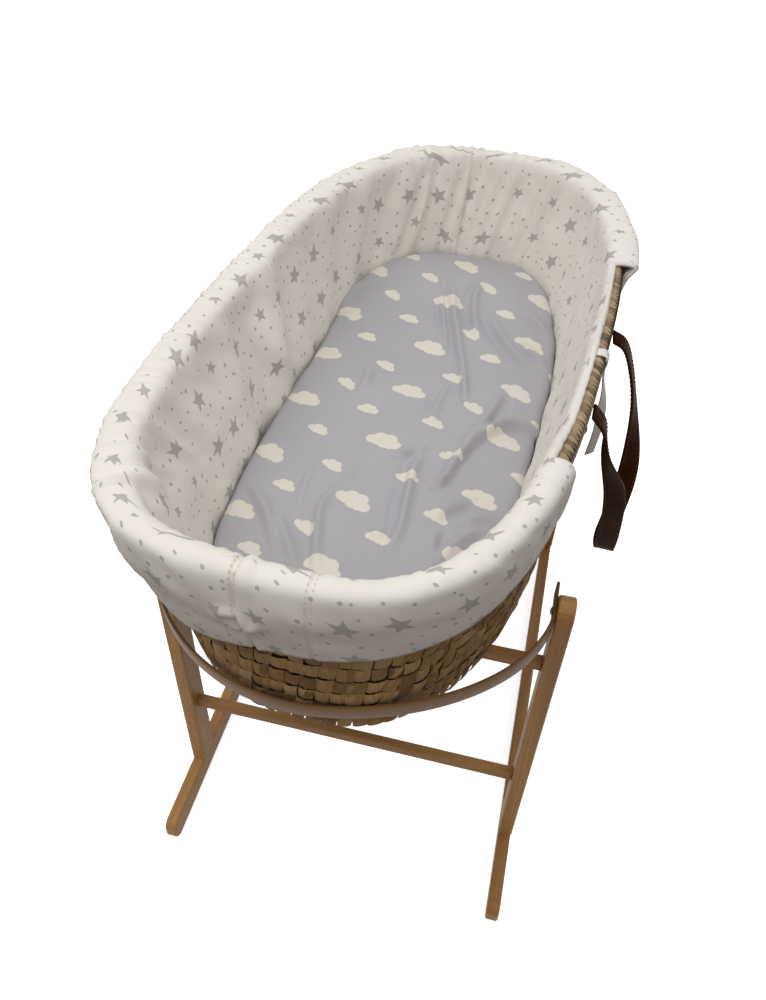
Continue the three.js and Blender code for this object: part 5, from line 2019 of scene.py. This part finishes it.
@dataclass
class CarryingStrap:
    """Limp leather strap that hangs as a loop from two riveted tabs."""

    copies: NodeTool
    rivets: NodeTool
    side: Side
    width: float = 0.024
    thick: float = 0.003
    tab_ys: Pair = (0.050, -0.090)
    tab_drop: float = 0.016
    tab_length: float = 0.048
    tab_thick: float = 0.0038
    ease: float = 0.0014
    far_turns: Pair = (0.12, 0.42)
    near_turns: Pair = (0.02, 0.28)
    far_bends: tuple = (  # millimetres from the far tab, outwards, along and up
        (13, 2, -8), (27, 2, -38), (42, -12, -90), (51, -34, -150), (46, -56, -208),
        (43, -66, -236), (45, -75, -244))
    near_bends: tuple = (  # and from the near tab
        (49, 58, -235), (49, 48, -204), (42, 28, -124), (22, 6, -54), (13, 1, -16))

    def seat(self, y: float, z: float, offset: float) -> Array:
        """Point beside the wall at this side, in the basket's own frame."""
        t = np.array([FORM.side_angle(self.side, y, z)])
        return FORM.point(t, np.array([z]), offset)[0]

    def tab_top(self, y: float) -> float:
        """Height of a tab's top edge."""
        return FORM.bottom + FORM.height + FORM.end_rise * (y / FORM.top_half[1]) ** 2 - self.tab_drop

    def path(self) -> Array:
        """Middle line of the strap, far tab to near tab.

        Returns:
            (170, 3) points.
        """
        out = 0.004 + self.ease + self.thick / 2
        ends = [self.seat(y, self.tab_top(y) + 0.0005, out) for y in self.tab_ys]
        flip = np.array([self.side.value, 1, 1])
        far = [ends[0] + np.array(bend) * MM * flip for bend in self.far_bends]
        near = [ends[1] + np.array(bend) * MM * flip for bend in self.near_bends]
        return spline(np.array([ends[0], *far, *near, ends[1]]), 170)

    def across(self, count: int) -> Array:
        """Direction of the strap's width along its length.

        Args:
            count: Number of points along the strap.

        Returns:
            (count, 3) directions.
        """
        part = np.linspace(0, 1, count)
        far, near = blend_step(part, *self.far_turns), blend_step(1 - part, *self.near_turns)
        turn = np.where(part < 0.5, far, near) * math.pi / 2
        way = np.where(part < 0.5, 1.0, -1.0)
        return np.stack([self.side.value * np.sin(turn), way * np.cos(turn), np.zeros(count)], axis=-1)

    def build(self) -> None:
        """Make the strap with its edge stitching, and the rivets of its tabs."""
        hand = self.side.name.lower()
        path = FORM.placed(self.path())
        across = FORM.placed(self.across(len(path)))
        strap = sweep(f"strap_{hand}", path, across, rounded_section(self.width, self.thick, 0.0011))
        paint(strap, LEATHER)
        self.stitched(strap, path, across, hand)
        body = Body.HANDLE_RIGHT if self.side is Side.RIGHT else Body.HANDLE_LEFT
        dress(strap, body, None, "leather", f"handle_{hand}")
        self.riveted(hand)

    def stitched(self, strap: Any, path: Array, across: Array, hand: str) -> None:
        """Two rows of stitches on both faces of the strap.

        Args:
            strap: The strap.
            path: Its middle line.
            across: Direction of its width.
            hand: Which hand the strap is for.
        """
        along = unit(np.gradient(path, axis=0))
        face = unit(np.cross(along, across))
        wide = np.cross(face, along)
        lines, outward = [], []
        for out in (-1, 1):
            for edge in (-1, 1):
                line = path + wide * edge * (self.width / 2 - 0.003) + face * out * self.thick / 2
                lines.append(line[3:-3])
                outward.append((face * out)[3:-3])
        marks = path_object(f"strap_seams_{hand}", lines, outward)
        stitch = Stitch(length=0.0034, radius=0.0004, dip=0.0004).build(f"strap_stitch_{hand}")
        self.copies.use(strap, Lines=marks, Copy=stitch, Pitch=0.0052, Tilt=0.06, Tilt_Spread=0.05,
                        Size_Spread=0.05, Seed=3, Finish=material_of(DARK_THREAD))
        discard(marks, stitch)

    def riveted(self, hand: str) -> None:
        """Domed rivet through each tab and the wall.

        Args:
            hand: Which hand the strap is for.
        """
        shape = Fastener(head=0.0046, height=0.0022, shank=0.002, length=0.0105, dome=0.0020)
        one = shape.build(f"rivet_shape_{hand}")
        for place, y in zip(("far", "near"), self.tab_ys):
            z = self.tab_top(y) - self.tab_length / 2
            seat = self.seat(y, z, 0.0)
            along, up = self.seat(y + 0.001, z, 0.0) - seat, self.seat(y, z + 0.001, 0.0) - seat
            out = unit(np.cross(along, up)) * self.side.value
            head = seat + out * (2 * PLAY + self.tab_thick + shape.height)
            made = path_object(f"tab_rivet_{place}_{hand}", [FORM.placed(head)], [FORM.placed(out)])
            self.rivets.use(made, Fastener=one, Seed=6, Finish=material_of(BRASS))
            dress(made, Body.BASKET, None, "brass", f"rivet_{place}_{hand}")
        discard(one)


# ---------------- stand


@dataclass
class BentLath:
    """Steamed lath round one end of the basket, screwed inside the uprights."""

    end: End
    width: float = 0.020
    thick: float = 0.003
    end_z: float = 0.452
    middle_z: float = 0.416
    tail: float = 0.030
    lead: float = 0.004
    clearance: float = 0.0032
    power: float = 1.85
    screws_y: float = 0.2555
    inner_x: float = 0.2007773  # inside of the uprights at the screws
    lean: float = 0.005 / 0.436  # of the uprights

    def build(self) -> None:
        """Make the lath."""
        sign = self.end.value
        reach = self.inner_x - PLAY - self.thick / 2
        part = (self.middle_z + self.width / 2 - FORM.bottom) / FORM.height
        half = FORM.base_half[1] + (FORM.top_half[1] - FORM.base_half[1]) * part
        apex, bend = half + self.clearance + self.thick / 2, self.screws_y + self.lead
        angle = np.linspace(0, math.pi, 121)
        bow = signed_power(np.maximum(np.sin(angle), 0), 2 / self.power)
        drift = sign * apex * math.tan(FORM.turn)
        x = reach * signed_power(np.cos(angle), 2 / self.power) + drift * bow ** 2
        y = sign * (bend + (apex - bend) * bow)
        z = self.end_z + (self.middle_z - self.end_z) * bow
        tails = [np.array([[s * reach, sign * (self.screws_y - self.tail), self.end_z]]) for s in (1, -1)]
        knots = np.concatenate([tails[0], np.stack([x, y, z], axis=-1), tails[1]])
        path = by_length(knots, 260)
        share = np.maximum(0, (sign * path[:, 1] - bend) / (apex - bend))
        flare = (FORM.top_half[1] - FORM.base_half[1]) / FORM.height
        across = unit(np.stack([np.sign(path[:, 0]) * self.lean * (1 - share), sign * flare * share,
                                np.ones(len(path))], axis=-1))
        for _ in range(12):
            across[1:-1] = unit(across[:-2] + 2 * across[1:-1] + across[2:])
        name = self.end.name.lower()
        made = sweep(f"lath_{name}", path, across, rounded_section(self.width, self.thick, 0.0008))
        dress(made, Body.STAND, LATH, "lath", f"bow_{name}")


@dataclass
class BeechStand:
    """Low stand: two runners, four leaning uprights, four rails, two laths and their fasteners."""

    fasteners: NodeTool
    nodes: dict[str, Any]
    boards: tuple = (  # start of the name, and the way the grain runs
        ("runner", Axis.ALONG), ("upright", Axis.UP),
        ("lower_rail", Axis.ACROSS), ("upper_rail", Axis.ACROSS))

    def build(self) -> None:
        """Finish the boards, bend the laths and put in the fasteners."""
        self.finish_boards()
        for end in End:
            BentLath(end).build()
        bolt = Fastener(0.0055, 0.003, 0.0026, 0.0355, 0.0022, 0.0016, 0.0008)
        foot = Fastener(0.0042, 0.003, 0.002, 0.0515, 0.0014, 0.0012, 0.0006)
        bow = Fastener(0.004, 0.002, 0.0016, 0.0145, 0.0012, 0.0009, 0.0012)
        self.put_in("lower_bolt", bolt, Axis.ACROSS)
        self.put_in("upper_bolt", bolt, Axis.ACROSS)
        self.put_in("foot_screw", foot, Axis.UP)
        self.put_in("bow_screw", bow, Axis.ACROSS)

    def finish_boards(self) -> None:
        """Give every board its own cut of beech, with the grain along it."""
        for name, node in self.nodes.items():
            for kind, grain in self.boards:
                if name.startswith(kind):
                    offset = 0.37 * (sum(map(ord, name)) % 17)
                    paint(node, Beech(f"beech_{name}", grain=grain, offset=offset))

    def put_in(self, kind: str, shape: Fastener, axis: Axis) -> None:
        """Replace one kind of fastener by detailed ones.

        Args:
            kind: Start of the nodes' names.
            shape: The fastener.
            axis: The axis that it lies on.
        """
        one = shape.build(f"{kind}_shape")
        for name in sorted(n for n in self.nodes if n.startswith(kind)):
            low, high = (np.array(corner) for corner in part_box(name))
            head = (low + high) / 2
            points = np.array([v.co[:] for v in self.nodes[name].data.vertices])
            spread = self.spread_at(points, axis, low), self.spread_at(points, axis, high)
            sign = 1.0 if spread[1] > spread[0] else -1.0
            head[axis.value] = (high if sign > 0 else low)[axis.value]
            outward = np.zeros(3)
            outward[axis.value] = sign
            made = path_object(f"{name}_turned", [head], [outward])
            self.fasteners.use(made, Fastener=one, Seed=9, Finish=material_of(ZINC))
            dress(made, Body.STAND, None, "steel", name)
        discard(one)

    @staticmethod
    def spread_at(points: Array, axis: Axis, corner: Array) -> float:
        """How wide a fastener is at one of its ends."""
        near = points[np.abs(points[:, axis.value] - corner[axis.value]) < 0.0004]
        rest = np.delete(near, axis.value, axis=1)
        return float(np.ptp(rest, axis=0).max()) if len(rest) else 0.0


# ---------------- studio


@dataclass(frozen=True)
class Studio:
    """Plain white studio: soft light from overhead, a pale floor and the viewer's camera."""

    place: tuple = (0.147754, -0.829285, 1.120125)
    yaw: float = -0.2304603
    pitch: float = 0.7381044
    roll: float = 0.0260562
    lens: float = 32.2
    shift: Pair = (0.014782, -0.025447)
    lamp_place: tuple = (-0.55, -0.75, 2.6)
    lamp_aim: tuple = (0.0, 0.0, 0.45)
    lamp_side: float = 1.7
    lamp_watts: float = 16.0
    sky: Pair = (0.03, 1.06)  # strength of the light from level and from above

    def build(self) -> None:
        """Set up the camera, the lamp, the world and the floor."""
        bpy.context.scene.view_settings.view_transform = "Standard"
        self.camera()
        self.lamp()
        self.world()
        self.floor()

    def camera(self) -> None:
        """Camera where the viewer stands, at the foot end and to the right."""
        ahead = Vector((math.sin(self.yaw) * math.cos(self.pitch), math.cos(self.yaw) * math.cos(self.pitch),
                        -math.sin(self.pitch)))
        level = Vector((math.cos(self.yaw), -math.sin(self.yaw), 0.0))
        above = level.cross(ahead)
        c, s = math.cos(self.roll), math.sin(self.roll)
        right, up = c * level + s * above, c * above - s * level
        data = bpy.data.cameras.new("viewer")
        data.lens = self.lens
        data.shift_x, data.shift_y = self.shift
        data.clip_start = 0.01
        made = bpy.data.objects.new("viewer", data)
        made.matrix_world = Matrix.Translation(self.place) @ Matrix((right, up, -ahead)).transposed().to_4x4()
        bpy.context.scene.collection.objects.link(made)
        bpy.context.scene.camera = made

    def lamp(self) -> None:
        """Hang a square soft lamp over the foot end, to the left."""
        data = bpy.data.lights.new("lamp_overhead", "AREA")
        data.shape = "SQUARE"
        data.size, data.energy = self.lamp_side, self.lamp_watts
        made = bpy.data.objects.new("lamp_overhead", data)
        made.location = self.lamp_place
        way = Vector(self.lamp_aim) - Vector(self.lamp_place)
        made.rotation_euler = way.to_track_quat("-Z", "Y").to_euler()
        bpy.context.scene.collection.objects.link(made)

    def world(self) -> None:
        """White surroundings for the eye and for reflections, a duller light from above otherwise."""
        world = bpy.data.worlds.new("studio")
        bpy.context.scene.world = world
        world.use_nodes = True
        world.node_tree.nodes.clear()
        add = partial(add_node, world.node_tree)
        rays = add("LightPath").outputs
        seen = add("Math.MAXIMUM", {0: rays["Is Camera Ray"], 1: rays["Is Transmission Ray"]})
        way = add("SeparateXYZ", {0: add("TexCoord").outputs["Generated"]})
        sky = add("MapRange", {0: way.outputs[2], 1: 0.0, 2: 0.9, 3: self.sky[0], 4: self.sky[1]})
        level = add("Mix", {0: seen, 2: sky, 3: 1.0})
        light = add("Background", {"Color": (1.0, 1.0, 1.0, 1.0), "Strength": level})
        add("OutputWorld", {"Surface": light})

    def floor(self) -> None:
        """Add the floor under the runners."""
        mesh = bpy.data.meshes.new("studio_floor")
        mesh.from_pydata([(-6, -6, 0), (6, -6, 0), (6, 6, 0), (-6, 6, 0)], [], [(0, 1, 2, 3)])
        made = make_object("studio_floor", mesh)
        paint(made, Backdrop("studio_floor_white"))


# ---------------- main


@dataclass
class MosesBasket:
    """Basket with its rim, liner, tape, mattress and two carrying straps."""

    copies: NodeTool
    fasteners: NodeTool
    nodes: dict[str, Any]

    def build(self) -> None:
        """Make every piece, from the wall outwards."""
        PlaitedWall(self.copies).build()
        WrappedRim(self.copies).build()
        # The base under the basket gets the leaf darkened as painted shade.
        paint(self.nodes["basket_base"], LEAF_IN_SHADE)
        QuiltedLiner(self.copies).build()
        NeckTape().build()
        Mattress().build()
        for side in Side:
            strap = CarryingStrap(self.copies, self.fasteners, side)
            if side is Side.LEFT:
                far = ((6, 1, -12), (16, 1, -42), (36, -12, -94), *strap.far_bends[3:])
                near = ((43, 58, -235), (43, 48, -204), (35, 28, -124), (13, 4, -50), (6, 1, -15))
                strap = replace(strap, far_bends=far, near_bends=near)
            strap.build()
        for name, node in self.nodes.items():
            if name.startswith("tab_"):
                paint(node, LEATHER)


def main() -> None:
    """Build the basket, its stand and the studio."""
    logging.basicConfig(level=logging.INFO, format="%(message)s")
    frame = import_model()
    copies, fasteners = copies_tool(), fastener_tool()
    MosesBasket(copies, fasteners, frame["nodes"]).build()
    BeechStand(fasteners, frame["nodes"]).build()
    Studio().build()


if __name__ == "__main__":
    main()
